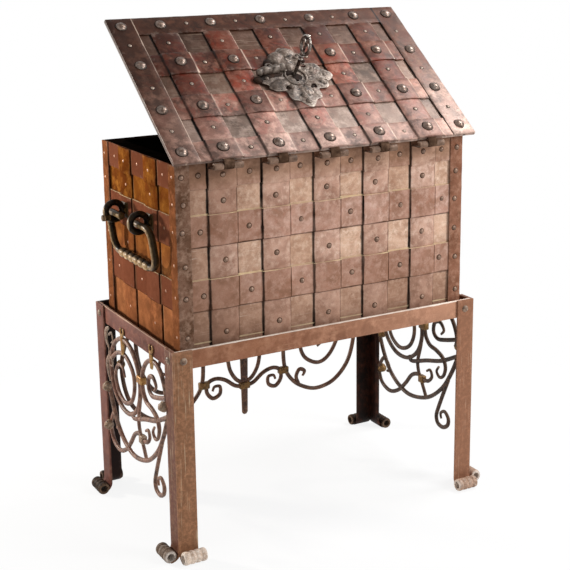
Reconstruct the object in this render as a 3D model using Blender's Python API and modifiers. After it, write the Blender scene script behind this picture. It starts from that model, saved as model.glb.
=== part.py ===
"""War chest on a wrought-iron stand.

Units are metres and +Z is up. X runs along the long sides, the hinged back of the chest
faces -Y, and the origin is on the floor under the middle of the stand. The lid stands
part open with its key in the lock.
"""

import math

import bmesh
import bpy
from mathutils import Matrix, Vector

# Clearances
GAP = 0.0003
RUNNING_GAP = 0.001
WELD = 0.00001

# Chest box
CHEST_WIDTH = 0.800
CHEST_DEPTH = 0.449
CHEST_HEIGHT = 0.468
SHEET_IRON = 0.004
STRAP_IRON = 0.003
RIM_WIDTH = 0.036
CORNER_FLANGE = 0.037
STRAP_WIDTH = 0.073
LONG_STRAP_COUNT = 5
LONG_STRAP_INSET = 0.120
SHORT_STRAP_COUNT = 2
SHORT_STRAP_INSET = 0.146
TOP_HOOP_WIDTH = 0.060
HOOP_WIDTH = 0.075
UPPER_HOOP_DROP = 0.1595
LOWER_HOOP_DROP = 0.3125
JOGGLE = 0.0035
STRAP_BEND = 0.005

# Stand
STAND_HEIGHT = 0.521
SIDE_PLAY = 0.0187
END_PLAY = 0.0122
LEG_FLANGE = 0.050
LEG_IRON = 0.005
RAIL_HEIGHT = 0.047
RAIL_LEDGE = 0.046
RAIL_IRON = 0.005
FOOT_ROLL_RADIUS = 0.016
FOOT_ROLL_REACH = 0.022
FOOT_ROLL_BORE = 0.009
FOOT_ROLL_OVERRUN = 0.008
FOOT_BEADS = 4
FOOT_GROOVE_WIDTH = 0.005
FOOT_GROOVE_DEPTH = 0.0025

# Scrollwork
SIDE_SCROLL_DROP = 0.362
FRONT_SCROLL_DROP = 0.346
SCROLL_BAR = 0.012
SCROLL_BAR_DEPTH = 0.012
SCROLL_TIP = 0.007
COLLAR_WIDTH = 0.030
COLLAR_HEIGHT = 0.019
COLLAR_IRON = 0.0015
CLIP_HEIGHT = 0.021
CLIP_IRON = 0.0045
CLIP_LAP = 0.022
CLIP_REACH = 0.024
HOOK_WIDTH = 0.015
HOOK_RISE = 0.028
SPEAR_WIDTH = 0.028
SPEAR_TIP = 0.015

# Lid and hinges
LID_IRON = 0.005
LID_SIDE_OVERHANG = 0.0145
LID_BACK_OVERHANG = 0.022
LID_FRONT_OVERHANG = 0.014
LID_OPEN_ANGLE = math.radians(37.5)
LID_SEAT_GAP = 0.0005
HINGE_BELOW = 0.006
HINGE_EYE_WIDTH = 0.025
HINGE_PIN_RADIUS = 0.004
FRAME_SIDE_WIDTH = 0.067
FRAME_FRONT_WIDTH = 0.060
FRAME_IRON = 0.004
BACK_BAND_WIDTH = 0.060
BACK_ROW_DEPTH = 0.0725
LID_BAND_WIDTH = 0.073
STUD_RADIUS = 0.0135
STUD_HEIGHT = 0.0085

# Lock
KEY_OFF_CENTRE = 0.003
KEY_SHANK_RADIUS = 0.0045
KEY_BOW_HEIGHT = 0.100
KEY_BOW_HALF_WIDTH = 0.023
KEY_BOW_HALF_HEIGHT = 0.028
KEY_BOW_WIRE = 0.0035
KEY_BEAD_RADIUS = 0.0075
KEY_BIT_LENGTH = 0.017
KEY_BIT_HEIGHT = 0.016
KEY_BIT_IRON = 0.005
KEY_PILOT = 0.009
KEYHOLE_PLAY = 0.0025
KEYHOLE_SLOT_PLAY = 0.007
ESCUTCHEON_IRON = 0.0025
ESCUTCHEON_RADIUS = 0.086
ESCUTCHEON_LOBE = 0.014
ESCUTCHEON_FRILL = 0.006
ESCUTCHEON_SHIFT = -0.008
PIERCING_RADIUS = 0.008
KEYHOLE_RING_RADIUS = 0.031
KEYHOLE_RING_WALL = 0.0045
KEYHOLE_RING_RISE = 0.004
LOCK_PLATE_IRON = 0.003
LOCK_PLATE_MARGIN = 0.006
LOCK_CASE_WIDTH = 0.150
LOCK_CASE_DEPTH = 0.120
LOCK_CASE_WALL = 0.003
LOCK_CASE_PLAY = 0.003
BOLT_WIDTH = 0.018
BOLT_IRON = 0.010
BOLT_SPREAD = 0.200
BOLT_SETBACK = 0.004
BOLT_THROW = 0.018

# Handles
BAIL_BAR_RADIUS = 0.0085
BAIL_DROP = 0.100
BAIL_HALF_WIDTH = 0.131
BAIL_SHIFT = -0.016
BAIL_HANG = math.radians(8)
BAIL_ELBOW = 0.028
BAIL_CORNER = 0.034
BAIL_RUN_IN = 0.034
BAIL_TIP_RADIUS = 0.0095
GRIP_RADIUS = 0.0125
GRIP_WAIST = 0.0105
GRIP_END = 0.008
GRIP_RIBS = 6
STAPLE_WIRE = 0.008
STAPLE_PLAY = 0.005
STAPLE_SEAT_GAP = 0.0008
STAPLE_SINK = 0.002
STAPLE_SHANK = 0.008
STAPLE_WASHER = 0.038
STAPLE_WASHER_IRON = 0.003

# Places that follow from the sizes above
LAYER = STRAP_IRON + GAP
STAND_WIDTH = CHEST_WIDTH + 2 * (SIDE_PLAY + RAIL_IRON + GAP + LEG_IRON)
STAND_DEPTH = CHEST_DEPTH + 2 * (END_PLAY + RAIL_IRON + GAP + LEG_IRON)
RAIL_HALF_WIDTH = STAND_WIDTH / 2 - LEG_IRON - GAP
RAIL_HALF_DEPTH = STAND_DEPTH / 2 - LEG_IRON - GAP
RAIL_BOTTOM = STAND_HEIGHT - RAIL_HEIGHT
CHEST_BASE = RAIL_BOTTOM + RAIL_IRON + LAYER + GAP
RIM_HEIGHT = CHEST_BASE + CHEST_HEIGHT
WALL_HALF_WIDTH = CHEST_WIDTH / 2 - 2 * LAYER
WALL_HALF_DEPTH = CHEST_DEPTH / 2 - 2 * LAYER
WALL_TOP = RIM_HEIGHT - SHEET_IRON - GAP
STRAP_TOP = RIM_HEIGHT - RUNNING_GAP
UPPER_HOOP_HEIGHT = RIM_HEIGHT - UPPER_HOOP_DROP
LOWER_HOOP_HEIGHT = RIM_HEIGHT - LOWER_HOOP_DROP
HINGE_EYE_RADIUS = HINGE_PIN_RADIUS + RUNNING_GAP + STRAP_IRON / 2
LID_BACK = HINGE_EYE_RADIUS + STRAP_IRON / 2 + GAP
HINGE_Y = -(CHEST_DEPTH / 2 + LID_BACK_OVERHANG + LID_BACK)
HINGE_Z = RIM_HEIGHT - HINGE_BELOW
LID_HALF_WIDTH = CHEST_WIDTH / 2 + LID_SIDE_OVERHANG
LID_FRONT = LID_BACK + LID_BACK_OVERHANG + CHEST_DEPTH + LID_FRONT_OVERHANG
LID_UNDERSIDE = HINGE_BELOW + LID_SEAT_GAP
LID_TOP = LID_UNDERSIDE + LID_IRON
FRAME_BACK_OF_FRONT = LID_FRONT - FRAME_FRONT_WIDTH
MIDDLE_BAND_BACK = LID_BACK + BACK_BAND_WIDTH + BACK_ROW_DEPTH
FRONT_BAND_BACK = (MIDDLE_BAND_BACK + FRAME_BACK_OF_FRONT) / 2
KEY_Y = (MIDDLE_BAND_BACK + FRONT_BAND_BACK + LID_BAND_WIDTH) / 2 + KEY_OFF_CENTRE
STAPLE_RING_RADIUS = BAIL_BAR_RADIUS + STAPLE_PLAY + STAPLE_WIRE
BAIL_STANDOFF = STAPLE_RING_RADIUS + STAPLE_WIRE - STAPLE_SINK + STAPLE_WASHER_IRON + GAP

# Facets round a turned foot and a rivet head, and degrees to a facet of a scroll
FOOT_SIDES = 8
STUD_SIDES = 8
SCROLL_FACET = 20

# Placements of a flat outline: its own x and y, then the direction it is thickened in
PLANES = {
    "XY": (Matrix(((1, 0, 0), (0, 1, 0), (0, 0, 1))), Vector((0, 0, 1))),
    "YZ": (Matrix(((0, 0, 1), (1, 0, 0), (0, 1, 0))), Vector((1, 0, 0))),
    "XZ": (Matrix(((1, 0, 0), (0, 0, -1), (0, 1, 0))), Vector((0, 1, 0))),
}


# Scene, materials and objects


def clear_scene():
    """Remove whatever the scene holds."""
    for obj in list(bpy.data.objects):
        bpy.data.objects.remove(obj, do_unlink=True)


def make_material(name, colour, roughness, metallic):
    """Principled material of one colour."""
    material = bpy.data.materials.new(name)
    material.use_nodes = True
    shader = material.node_tree.nodes["Principled BSDF"]
    shader.inputs["Base Color"].default_value = (*colour, 1.0)
    shader.inputs["Roughness"].default_value = roughness
    shader.inputs["Metallic"].default_value = metallic
    return material


def make_collection(name):
    """New collection in the scene."""
    collection = bpy.data.collections.new(name)
    bpy.context.scene.collection.children.link(collection)
    return collection


def add_part(assembly, name, mesh, material, parent=None):
    """One named piece of the object."""
    mesh.name = name
    mesh.materials.clear()
    mesh.materials.append(material)
    obj = bpy.data.objects.new(name, mesh)
    assembly.objects.link(obj)
    obj.parent = parent
    return obj


def add_axis(assembly, name, location, parent=None):
    """Empty that marks a joint's axis and carries the pieces that turn on it."""
    axis = bpy.data.objects.new(name, None)
    axis.location = location
    axis.empty_display_size = 0.05
    assembly.objects.link(axis)
    axis.parent = parent
    return axis


# Meshes


def clean_mesh(mesh):
    """Weld a mesh and turn its faces outwards."""
    work = bmesh.new()
    work.from_mesh(mesh)
    bmesh.ops.remove_doubles(work, verts=work.verts, dist=WELD)
    bmesh.ops.recalc_face_normals(work, faces=work.faces)
    work.to_mesh(mesh)
    work.free()
    return mesh


def evaluated_mesh(data, modifiers=()):
    """Mesh of a curve or mesh after its modifiers, each given as its type and settings."""
    obj = bpy.data.objects.new("form", data)
    bpy.context.scene.collection.objects.link(obj)
    for kind, settings in modifiers:
        modifier = obj.modifiers.new(kind.title(), kind)
        for key, value in settings.items():
            setattr(modifier, key, value)
    graph = bpy.context.evaluated_depsgraph_get()
    mesh = bpy.data.meshes.new_from_object(obj.evaluated_get(graph))
    bpy.data.objects.remove(obj)
    return clean_mesh(mesh)


def box(low, high):
    """Box between two corners."""
    work = bmesh.new()
    bmesh.ops.create_cube(work, size=1.0)
    for vert in work.verts:
        vert.co = [a + (c + 0.5) * (b - a) for a, b, c in zip(low, high, vert.co)]
    mesh = bpy.data.meshes.new("box")
    work.to_mesh(mesh)
    work.free()
    return mesh


def prism(loops, plane, low, high):
    """Flat outline, with any holes as further loops, thickened from low to high."""
    curve = bpy.data.curves.new("outline", "CURVE")
    curve.dimensions = "2D"
    curve.fill_mode = "BOTH"
    curve.extrude = (high - low) / 2
    for loop in loops:
        spline = curve.splines.new("POLY")
        spline.points.add(len(loop) - 1)
        for point, (u, v) in zip(spline.points, loop):
            point.co = (u, v, 0.0, 1.0)
        spline.use_cyclic_u = True
    mesh = evaluated_mesh(curve)
    turn, along = PLANES[plane]
    mesh.transform(Matrix.Translation(along * (low + high) / 2) @ turn.to_4x4())
    return clean_mesh(mesh)


def tube(points, radius, radii=None, closed=False, resolution=2):
    """Round bar along a path, with a share of its radius at each point."""
    curve = bpy.data.curves.new("bar", "CURVE")
    curve.dimensions = "3D"
    curve.bevel_depth = radius
    curve.bevel_resolution = resolution
    curve.use_fill_caps = True
    spline = curve.splines.new("POLY")
    spline.points.add(len(points) - 1)
    for index, point in enumerate(points):
        spline.points[index].co = (*point, 1.0)
        spline.points[index].radius = radii[index] if radii else 1.0
    spline.use_cyclic_u = closed
    return evaluated_mesh(curve)


def turned(profile, sides):
    """Shape turned about Z, from a profile of (radius, height) that runs top to bottom."""
    mesh = bpy.data.meshes.new("turned")
    points = [(radius, 0.0, height) for radius, height in profile]
    edges = [(i, i + 1) for i in range(len(points) - 1)]
    mesh.from_pydata(points, edges, [])
    screw = {
        "steps": sides,
        "render_steps": sides,
        "use_merge_vertices": True,
        "merge_threshold": WELD,
    }
    return evaluated_mesh(mesh, [("SCREW", screw)])


def combine(first, others, operation="UNION"):
    """Mesh of the first form joined with the others, or cut by them."""
    tools = []
    settings = []
    for other in others:
        tool = bpy.data.objects.new("tool", other)
        bpy.context.scene.collection.objects.link(tool)
        tools.append(tool)
        choices = {"solver": "EXACT", "operation": operation, "object": tool}
        settings.append(("BOOLEAN", choices))
    mesh = evaluated_mesh(first, settings)
    for tool in tools:
        bpy.data.objects.remove(tool)
    return mesh


def moved(mesh, offset):
    """The same mesh moved by an offset."""
    mesh.transform(Matrix.Translation(offset))
    return mesh


# Outlines and paths


def arc(centre, radius, start, end, steps):
    """Points on an arc, with its angles in degrees."""
    turns = [math.radians(start + (end - start) * i / steps) for i in range(steps + 1)]
    return [(centre[0] + radius * math.cos(a), centre[1] + radius * math.sin(a)) for a in turns]


def spiral(centre, outer, inner, start, end, steps):
    """Points on a spiral that winds in from its outer to its inner radius."""
    points = []
    for i in range(steps + 1):
        share = i / steps
        radius = outer + (inner - outer) * share
        angle = math.radians(start + (end - start) * share)
        points.append((centre[0] + radius * math.cos(angle), centre[1] + radius * math.sin(angle)))
    return points


def smooth(points, steps, closed=False):
    """Curve through hand-set points, with some steps in each span."""
    ends = [points[0], *points, points[-1]]
    if closed:
        ends = [points[-1], *points, points[0], points[1]]
    path = []
    for before, start, end, after in zip(ends, ends[1:], ends[2:], ends[3:]):
        for i in range(steps):
            t = i / steps
            weights = (
                -0.5 * t + t**2 - 0.5 * t**3,
                1 - 2.5 * t**2 + 1.5 * t**3,
                0.5 * t + 2 * t**2 - 1.5 * t**3,
                -0.5 * t**2 + 0.5 * t**3,
            )
            corners = (before, start, end, after)
            path.append(tuple(sum(w * c[k] for w, c in zip(weights, corners)) for k in (0, 1)))
    if not closed:
        path.append(tuple(points[-1]))
    return path


def thin_out(path, bend):
    """Path with only the points where it has turned by about a bend, in degrees, since the last."""
    kept = [path[0]]
    turned_by = 0.0
    for before, point, after in zip(path, path[1:], path[2:]):
        first = math.atan2(point[1] - before[1], point[0] - before[0])
        last = math.atan2(after[1] - point[1], after[0] - point[0])
        turned_by += abs(math.degrees(math.remainder(last - first, 2 * math.pi)))
        if turned_by >= bend:
            kept.append(point)
            turned_by = 0.0
    return kept + [path[-1]]


def offset_path(path, distances, closed=False):
    """Path moved to its left by a distance at each point, with mitred corners."""
    count = len(path)
    moved_points = []
    for i, point in enumerate(path):
        before = path[i - 1] if i or closed else None
        after = path[(i + 1) % count] if i < count - 1 or closed else None
        normals = []
        for a, b in ((before, point), (point, after)):
            if a is None or b is None:
                continue
            length = math.dist(a, b)
            normals.append(((a[1] - b[1]) / length, (b[0] - a[0]) / length))
        first, last = normals[0], normals[-1]
        share = distances[i] / (1 + first[0] * last[0] + first[1] * last[1])
        step = ((first[0] + last[0]) * share, (first[1] + last[1]) * share)
        moved_points.append((point[0] + step[0], point[1] + step[1]))
    return moved_points


def band_outline(path, thickness, tip=None):
    """Outline of a band along an open path, drawn down to another thickness at its far tip."""
    count = len(path)
    tip = thickness if tip is None else tip
    taper = max(1, count // 3)
    halves = []
    for i in range(count):
        near_tip = max(0, i - (count - 1 - taper)) / taper
        halves.append((thickness + (tip - thickness) * near_tip) / 2)
    left = offset_path(path, halves)
    right = offset_path(path, [-half for half in halves])
    return left + right[::-1]


def strap_places(count, inset, length):
    """Middles of evenly spaced straps along a side, about its centre."""
    pitch = (length - 2 * inset) / (count - 1)
    return [(i - (count - 1) / 2) * pitch for i in range(count)]


def long_strap_places():
    """Middles of the straps along the long sides and the lid."""
    return strap_places(LONG_STRAP_COUNT, LONG_STRAP_INSET, CHEST_WIDTH)


def short_strap_places():
    """Middles of the straps along the short sides."""
    return strap_places(SHORT_STRAP_COUNT, SHORT_STRAP_INSET, CHEST_DEPTH)


def woven_path(places, start, end, low, high):
    """Path that rises over each strap, as places along it and heights above it."""
    points = [(start, low)]
    for place in places:
        left = place - STRAP_WIDTH / 2 - STRAP_IRON / 2
        right = place + STRAP_WIDTH / 2 + STRAP_IRON / 2
        points += [(left - JOGGLE, low), (left, high), (right, high), (right + JOGGLE, low)]
    points.append((end, low))
    return points


# Stand


def foot_roll():
    """Beaded, hollow roll along +Z that a flange's foot is wound into."""
    length = LEG_FLANGE + FOOT_ROLL_OVERRUN
    bead = (length - (FOOT_BEADS - 1) * FOOT_GROOVE_WIDTH) / FOOT_BEADS
    across = FOOT_ROLL_RADIUS / math.cos(math.pi / FOOT_SIDES)
    profile = [(FOOT_ROLL_BORE, length)]
    for i in range(FOOT_BEADS):
        top = length - i * (bead + FOOT_GROOVE_WIDTH)
        profile += [(across, top), (across, top - bead)]
        if i < FOOT_BEADS - 1:
            profile.append((across - FOOT_GROOVE_DEPTH, top - bead - FOOT_GROOVE_WIDTH / 2))
    profile += [(FOOT_ROLL_BORE, 0.0), (FOOT_ROLL_BORE, length)]
    roll = turned(profile, FOOT_SIDES)
    roll.transform(Matrix.Rotation(math.pi / FOOT_SIDES, 4, "Z"))
    return roll


def flange_with_foot(plane):
    """Leg flange on the positive side of its corner, bent outwards into a roll at the floor."""
    half = LEG_IRON / 2
    bend = FOOT_ROLL_REACH + half
    lead = arc((half - bend, half + bend), bend, 0, -90, 5)
    outline = band_outline([(half, STAND_HEIGHT), *lead], LEG_IRON)
    flange = prism([outline], plane, 0.0, LEG_FLANGE)
    roll = foot_roll()
    turn, _ = PLANES[plane]
    if plane == "XZ":
        roll.transform(Matrix.Scale(-1, 4, (0, 0, 1)))
    roll.transform(turn.to_4x4())
    offset = turn @ Vector((-FOOT_ROLL_REACH, FOOT_ROLL_RADIUS, 0.0))
    return combine(flange, [clean_mesh(moved(roll, offset))])


def build_legs(assembly, iron):
    """Four angle-iron legs with their corners outwards."""
    mesh = combine(flange_with_foot("XZ"), [flange_with_foot("YZ")])
    corners = {
        "leg_back_left": (-1, -1, 0),
        "leg_back_right": (1, -1, 90),
        "leg_front_right": (1, 1, 180),
        "leg_front_left": (-1, 1, 270),
    }
    for name, (side_x, side_y, turn) in corners.items():
        leg = add_part(assembly, name, mesh.copy(), iron)
        leg.location = (side_x * STAND_WIDTH / 2, side_y * STAND_DEPTH / 2, 0.0)
        leg.rotation_euler.z = math.radians(turn)


def mitred_rail(half_length):
    """Angle-iron rail along X with its upright face at y 0, cut to 45 degrees at its ends."""
    profile = [
        (0.0, RAIL_BOTTOM),
        (RAIL_LEDGE, RAIL_BOTTOM),
        (RAIL_LEDGE, RAIL_BOTTOM + RAIL_IRON),
        (RAIL_IRON, RAIL_BOTTOM + RAIL_IRON),
        (RAIL_IRON, STAND_HEIGHT),
        (0.0, STAND_HEIGHT),
    ]
    mesh = prism([profile], "YZ", -half_length, half_length)
    for vert in mesh.vertices:
        vert.co.x = math.copysign(half_length - vert.co.y - GAP, vert.co.x)
    return mesh


def build_rails(assembly, iron):
    """Four rails that frame the chest and carry it on their ledges."""
    long_mesh = mitred_rail(RAIL_HALF_WIDTH)
    short_mesh = mitred_rail(RAIL_HALF_DEPTH)
    places = {
        "rail_back": (long_mesh, (0.0, -RAIL_HALF_DEPTH, 0.0), 0),
        "rail_right": (short_mesh, (RAIL_HALF_WIDTH, 0.0, 0.0), 90),
        "rail_front": (long_mesh, (0.0, RAIL_HALF_DEPTH, 0.0), 180),
        "rail_left": (short_mesh, (-RAIL_HALF_WIDTH, 0.0, 0.0), 270),
    }
    for name, (mesh, location, turn) in places.items():
        rail = add_part(assembly, name, mesh.copy(), iron)
        rail.location = location
        rail.rotation_euler.z = math.radians(turn)


class ScrollPanel:
    """Scrollwork in one upright plane, drawn in centimetres from the middle and down from the rail.

    Built lying along X with its outer face at y 0 and its bars reaching to +Y.
    """

    def __init__(self, half_span, drop, drawing_span, drawing_drop):
        self.scale_u = half_span / drawing_span
        self.scale_v = drop / drawing_drop
        self.half_span = half_span

    def place(self, points):
        """Drawing points as places in the panel."""
        return [(u * self.scale_u, RAIL_BOTTOM - v * self.scale_v) for u, v in points]

    def bar(self, points, depth_share, tip=SCROLL_TIP):
        """Flat bar along a smooth path, drawn down at its far tip."""
        path = thin_out(smooth(self.place(points), 4), SCROLL_FACET)
        outline = band_outline(path, SCROLL_BAR, tip)
        inset = SCROLL_BAR_DEPTH * (1 - depth_share) / 2
        return prism([outline], "XZ", inset, SCROLL_BAR_DEPTH - inset)

    def loop(self, points, depth_share):
        """Closed loop of flat bar through hand-set points."""
        path = thin_out(smooth(self.place(points), 4, closed=True), SCROLL_FACET)
        half = [SCROLL_BAR / 2] * len(path)
        loops = [offset_path(path, [side * h for h in half], closed=True) for side in (-1, 1)]
        inset = SCROLL_BAR_DEPTH * (1 - depth_share) / 2
        return prism(loops, "XZ", inset, SCROLL_BAR_DEPTH - inset)

    def collar(self, centre, width=COLLAR_WIDTH):
        """Forged band round the bars where they meet."""
        u, v = self.place([centre])[0]
        low = (u - width / 2, -COLLAR_IRON, v - COLLAR_HEIGHT / 2)
        high = (u + width / 2, SCROLL_BAR_DEPTH + COLLAR_IRON, v + COLLAR_HEIGHT / 2)
        return box(low, high)

    def clip(self, side, height_place):
        """Clip that grips a leg's edge from both faces."""
        edge = self.half_span
        level = self.place([(0.0, height_place)])[0][1]
        low = (edge - CLIP_REACH, -CLIP_IRON, level - CLIP_HEIGHT / 2)
        high = (edge + CLIP_LAP, LEG_IRON + CLIP_IRON, level + CLIP_HEIGHT / 2)
        slot_low = (edge - GAP, -GAP, level - CLIP_HEIGHT)
        slot_high = (edge + 2 * CLIP_LAP, LEG_IRON + GAP, level + CLIP_HEIGHT)
        clip = combine(box(low, high), [box(slot_low, slot_high)], "DIFFERENCE")
        if side < 0:
            clip.transform(Matrix.Scale(-1, 4, (1, 0, 0)))
        return clean_mesh(clip)

    def hook(self, place, start):
        """Tongue that laps over the outer face of the rail."""
        u, v = self.place([(place, start)])[0]
        top = RAIL_BOTTOM + HOOK_RISE
        outline = [
            (u - HOOK_WIDTH / 2, v),
            (u + HOOK_WIDTH / 2, v),
            *arc((u, top), HOOK_WIDTH / 2, 0, 180, 5),
        ]
        return prism([outline], "XZ", 0.0, LEG_IRON)


def side_panel_mesh(panel):
    """Scrolls above and garland below, on one side of the stand; u runs towards the back legs."""
    ring = arc((-7.0, 10.8), 9.7, 0, 360, 10)[:-1]
    far_spiral = [(-16.3, 8.6), (-12.0, 5.9), (-6.5, 5.2), (-1.8, 8.2), (-1.2, 12.4), (-3.5, 16.4)]
    far_spiral += [(-8.0, 18.1), (-12.2, 16.2), (-13.8, 12.4), (-11.8, 9.1), (-8.8, 9.0), (-7.4, 11.2)]
    near_scroll = [(18.9, 10.4), (18.3, 6.4), (15.8, 2.6), (12.0, 1.2), (7.5, 2.6), (4.5, 6.4)]
    near_scroll += [(4.2, 10.4), (6.2, 13.1), (9.5, 13.9), (12.5, 15.2), (13.8, 17.6), (13.0, 20.2)]
    near_scroll += [(11.2, 21.2), (9.8, 19.9), (10.8, 18.3)]
    near_spiral = [(18.9, 8.2), (13.5, 9.8), (10.0, 10.4), (8.1, 8.9), (8.6, 6.2), (11.0, 5.4)]
    near_spiral += [(12.8, 7.2), (11.6, 8.7)]
    stem = [(3.0, 8.9), (2.2, 14.4), (0.8, 19.4), (1.2, 22.4), (2.5, 24.6), (5.0, 29.0)]
    tie = [(-3.6, 19.2), (-2.0, 20.4), (5.0, 18.2), (12.0, 16.2), (18.9, 12.9)]
    garland = [(18.9, 13.8), (16.5, 18.4), (12.5, 23.9), (6.0, 28.7), (-2.0, 30.8), (-8.0, 29.8)]
    garland += [(-13.0, 26.7), (-16.5, 21.9), (-18.9, 16.6)]
    tail = [(15.2, 20.8), (12.8, 25.9), (10.7, 30.9), (10.0, 33.4), (10.7, 35.6), (13.0, 36.2)]
    tail += [(15.3, 34.8), (15.6, 32.4), (13.8, 30.6), (12.0, 31.7), (12.3, 33.4)]
    swag = [(-18.9, 28.6), (-17.2, 31.6), (-13.0, 32.9), (-8.5, 31.1), (-5.0, 27.9), (-2.0, 24.6)]
    swag += [(1.2, 23.4), (3.5, 24.2), (6.0, 23.9), (7.6, 22.2), (6.8, 20.5), (5.2, 21.2)]
    far_curl = [(-18.9, 27.0), (-16.5, 23.8), (-14.2, 24.8), (-13.5, 26.7), (-14.8, 27.3)]
    forms = [
        panel.loop(ring, 0.94),
        panel.bar(far_spiral, 0.80),
        panel.bar(near_scroll, 0.90),
        panel.bar(near_spiral, 0.76),
        panel.bar(stem, 0.72, tip=SCROLL_BAR),
        panel.bar(tie, 0.70, tip=SCROLL_BAR),
        panel.bar(garland, 0.96, tip=SCROLL_BAR),
        panel.bar(tail, 0.82),
        panel.bar(swag, 0.86),
        panel.bar(far_curl, 0.66),
        panel.hook(-7.5, 1.6),
        panel.hook(11.2, 1.6),
        panel.collar((3.4, 8.4)),
        panel.collar((3.0, 24.2)),
        panel.clip(1, 11.7),
        panel.clip(-1, 16.6),
        panel.clip(-1, 27.6),
    ]
    return combine(forms[0], forms[1:])


def spear_mesh(panel):
    """Tapered drop with a round tip, in the middle of the front."""
    top = RAIL_BOTTOM - 0.5 * panel.scale_v
    foot = RAIL_BOTTOM - 33.6 * panel.scale_v
    half = SPEAR_WIDTH / 2
    outline = [(-half, top), *arc((0.0, foot), SPEAR_TIP / 2, 180, 360, 6), (half, top)]
    return prism([outline], "XZ", 0.0, SCROLL_BAR_DEPTH)


def front_panel_mesh(panel):
    """Two ovals with their spirals about a drop spear; u runs along the stand."""
    oval = [(24.6, 0.8), (18.0, 2.2), (13.9, 8.0), (12.8, 15.0), (13.1, 23.4), (15.6, 28.0), (19.5, 30.8)]
    oval += [(24.0, 32.0), (29.5, 30.6), (34.0, 26.2), (36.2, 20.0), (36.6, 13.0), (34.5, 6.5), (30.0, 2.2)]
    oval_spiral = [(30.6, 2.4), (32.4, 8.0), (31.4, 16.0), (28.4, 22.0), (24.5, 24.2), (20.2, 22.2)]
    oval_spiral += [(18.4, 18.4), (19.4, 14.4), (22.6, 12.8), (25.4, 14.6), (25.8, 17.6), (24.0, 19.2)]
    oval_curl = [(17.6, 29.4), (16.9, 27.2), (18.0, 25.2), (19.7, 26.0), (19.0, 27.4)]
    low_scroll = [(0.4, 26.9), (3.0, 26.2), (6.0, 24.0), (9.0, 23.1), (11.4, 24.0), (11.8, 26.6), (10.0, 28.7)]
    low_scroll += [(7.8, 27.8), (7.7, 25.6), (9.4, 25.4), (10.0, 26.6)]
    high_scroll = [(0.4, 25.8), (2.6, 24.4), (4.4, 21.4), (5.4, 17.0), (7.6, 12.4), (10.0, 9.4), (10.4, 5.8)]
    high_scroll += [(8.4, 3.8), (5.6, 5.0), (5.4, 7.8), (7.4, 8.6), (8.2, 7.0)]
    forms = [
        spear_mesh(panel),
        panel.hook(0.0, 4.0),
        panel.collar((0.0, 26.6), SPEAR_WIDTH + 2 * COLLAR_IRON),
    ]
    for side in (-1, 1):
        drawings = [oval, oval_spiral, oval_curl, low_scroll, high_scroll]
        flipped = [[(side * u, v) for u, v in points] for points in drawings]
        forms.append(panel.loop(flipped[0], 0.94))
        forms += [panel.bar(points, share) for points, share in zip(flipped[1:], (0.80, 0.70, 0.86, 0.76))]
        forms.append(panel.hook(side * 24.6, 1.4))
        forms.append(panel.collar((side * 12.6, 24.4)))
        forms.append(panel.clip(side, 14.0))
    return combine(forms[0], forms[1:])


def build_scrollwork(assembly, iron):
    """Scroll panels of the left, right and front sides."""
    side_span = STAND_DEPTH / 2 - LEG_FLANGE
    front_span = STAND_WIDTH / 2 - LEG_FLANGE
    side_panel = ScrollPanel(side_span, SIDE_SCROLL_DROP, 19.7, 36.2)
    front_panel = ScrollPanel(front_span, FRONT_SCROLL_DROP, 37.9, 34.6)
    left = side_panel_mesh(side_panel)
    left.transform(Matrix.Rotation(math.radians(-90), 4, "Z"))
    moved(left, (-STAND_WIDTH / 2, 0.0, 0.0))
    right = left.copy()
    right.transform(Matrix.Scale(-1, 4, (1, 0, 0)))
    front = front_panel_mesh(front_panel)
    front.transform(Matrix.Rotation(math.radians(180), 4, "Z"))
    moved(front, (0.0, STAND_DEPTH / 2, 0.0))
    add_part(assembly, "left_scroll_panel", left, iron)
    add_part(assembly, "right_scroll_panel", clean_mesh(right), iron)
    add_part(assembly, "front_scroll_panel", front, iron)


# Chest


def build_box(assembly, iron):
    """Sheet walls and bottom, and the rim flange that keeps the bolts."""
    x, y = WALL_HALF_WIDTH, WALL_HALF_DEPTH
    inner_x, inner_y = x - SHEET_IRON, y - SHEET_IRON
    add_part(assembly, "back_wall", box((-x, -y, CHEST_BASE), (x, -inner_y, WALL_TOP)), iron)
    add_part(assembly, "front_wall", box((-x, inner_y, CHEST_BASE), (x, y, WALL_TOP)), iron)
    end = inner_y - GAP
    add_part(assembly, "left_wall", box((-x, -end, CHEST_BASE), (-inner_x, end, WALL_TOP)), iron)
    add_part(assembly, "right_wall", box((inner_x, -end, CHEST_BASE), (x, end, WALL_TOP)), iron)
    low = (GAP - inner_x, -end, CHEST_BASE)
    add_part(assembly, "chest_bottom", box(low, (inner_x - GAP, end, CHEST_BASE + SHEET_IRON)), iron)
    loops = []
    for inset in (0.0, RIM_WIDTH):
        a, b = x - inset, y - inset
        loops.append([(-a, -b), (a, -b), (a, b), (-a, b)])
    add_part(assembly, "rim_flange", prism(loops, "XY", RIM_HEIGHT - SHEET_IRON, RIM_HEIGHT), iron)


def build_corners(assembly, iron):
    """Angle irons over the four upright edges."""
    inner, outer = 0.0, CORNER_FLANGE
    t = STRAP_IRON
    outline = [(inner, inner), (outer, inner), (outer, t), (t, t), (t, outer), (inner, outer)]
    mesh = prism([outline], "XY", CHEST_BASE - LAYER, STRAP_TOP)
    corners = {
        "corner_angle_back_left": (-1, -1, 0),
        "corner_angle_back_right": (1, -1, 90),
        "corner_angle_front_right": (1, 1, 180),
        "corner_angle_front_left": (-1, 1, 270),
    }
    for name, (side_x, side_y, turn) in corners.items():
        corner = add_part(assembly, name, mesh.copy(), iron)
        corner.location = (side_x * CHEST_WIDTH / 2, side_y * CHEST_DEPTH / 2, 0.0)
        corner.rotation_euler.z = math.radians(turn)


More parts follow.
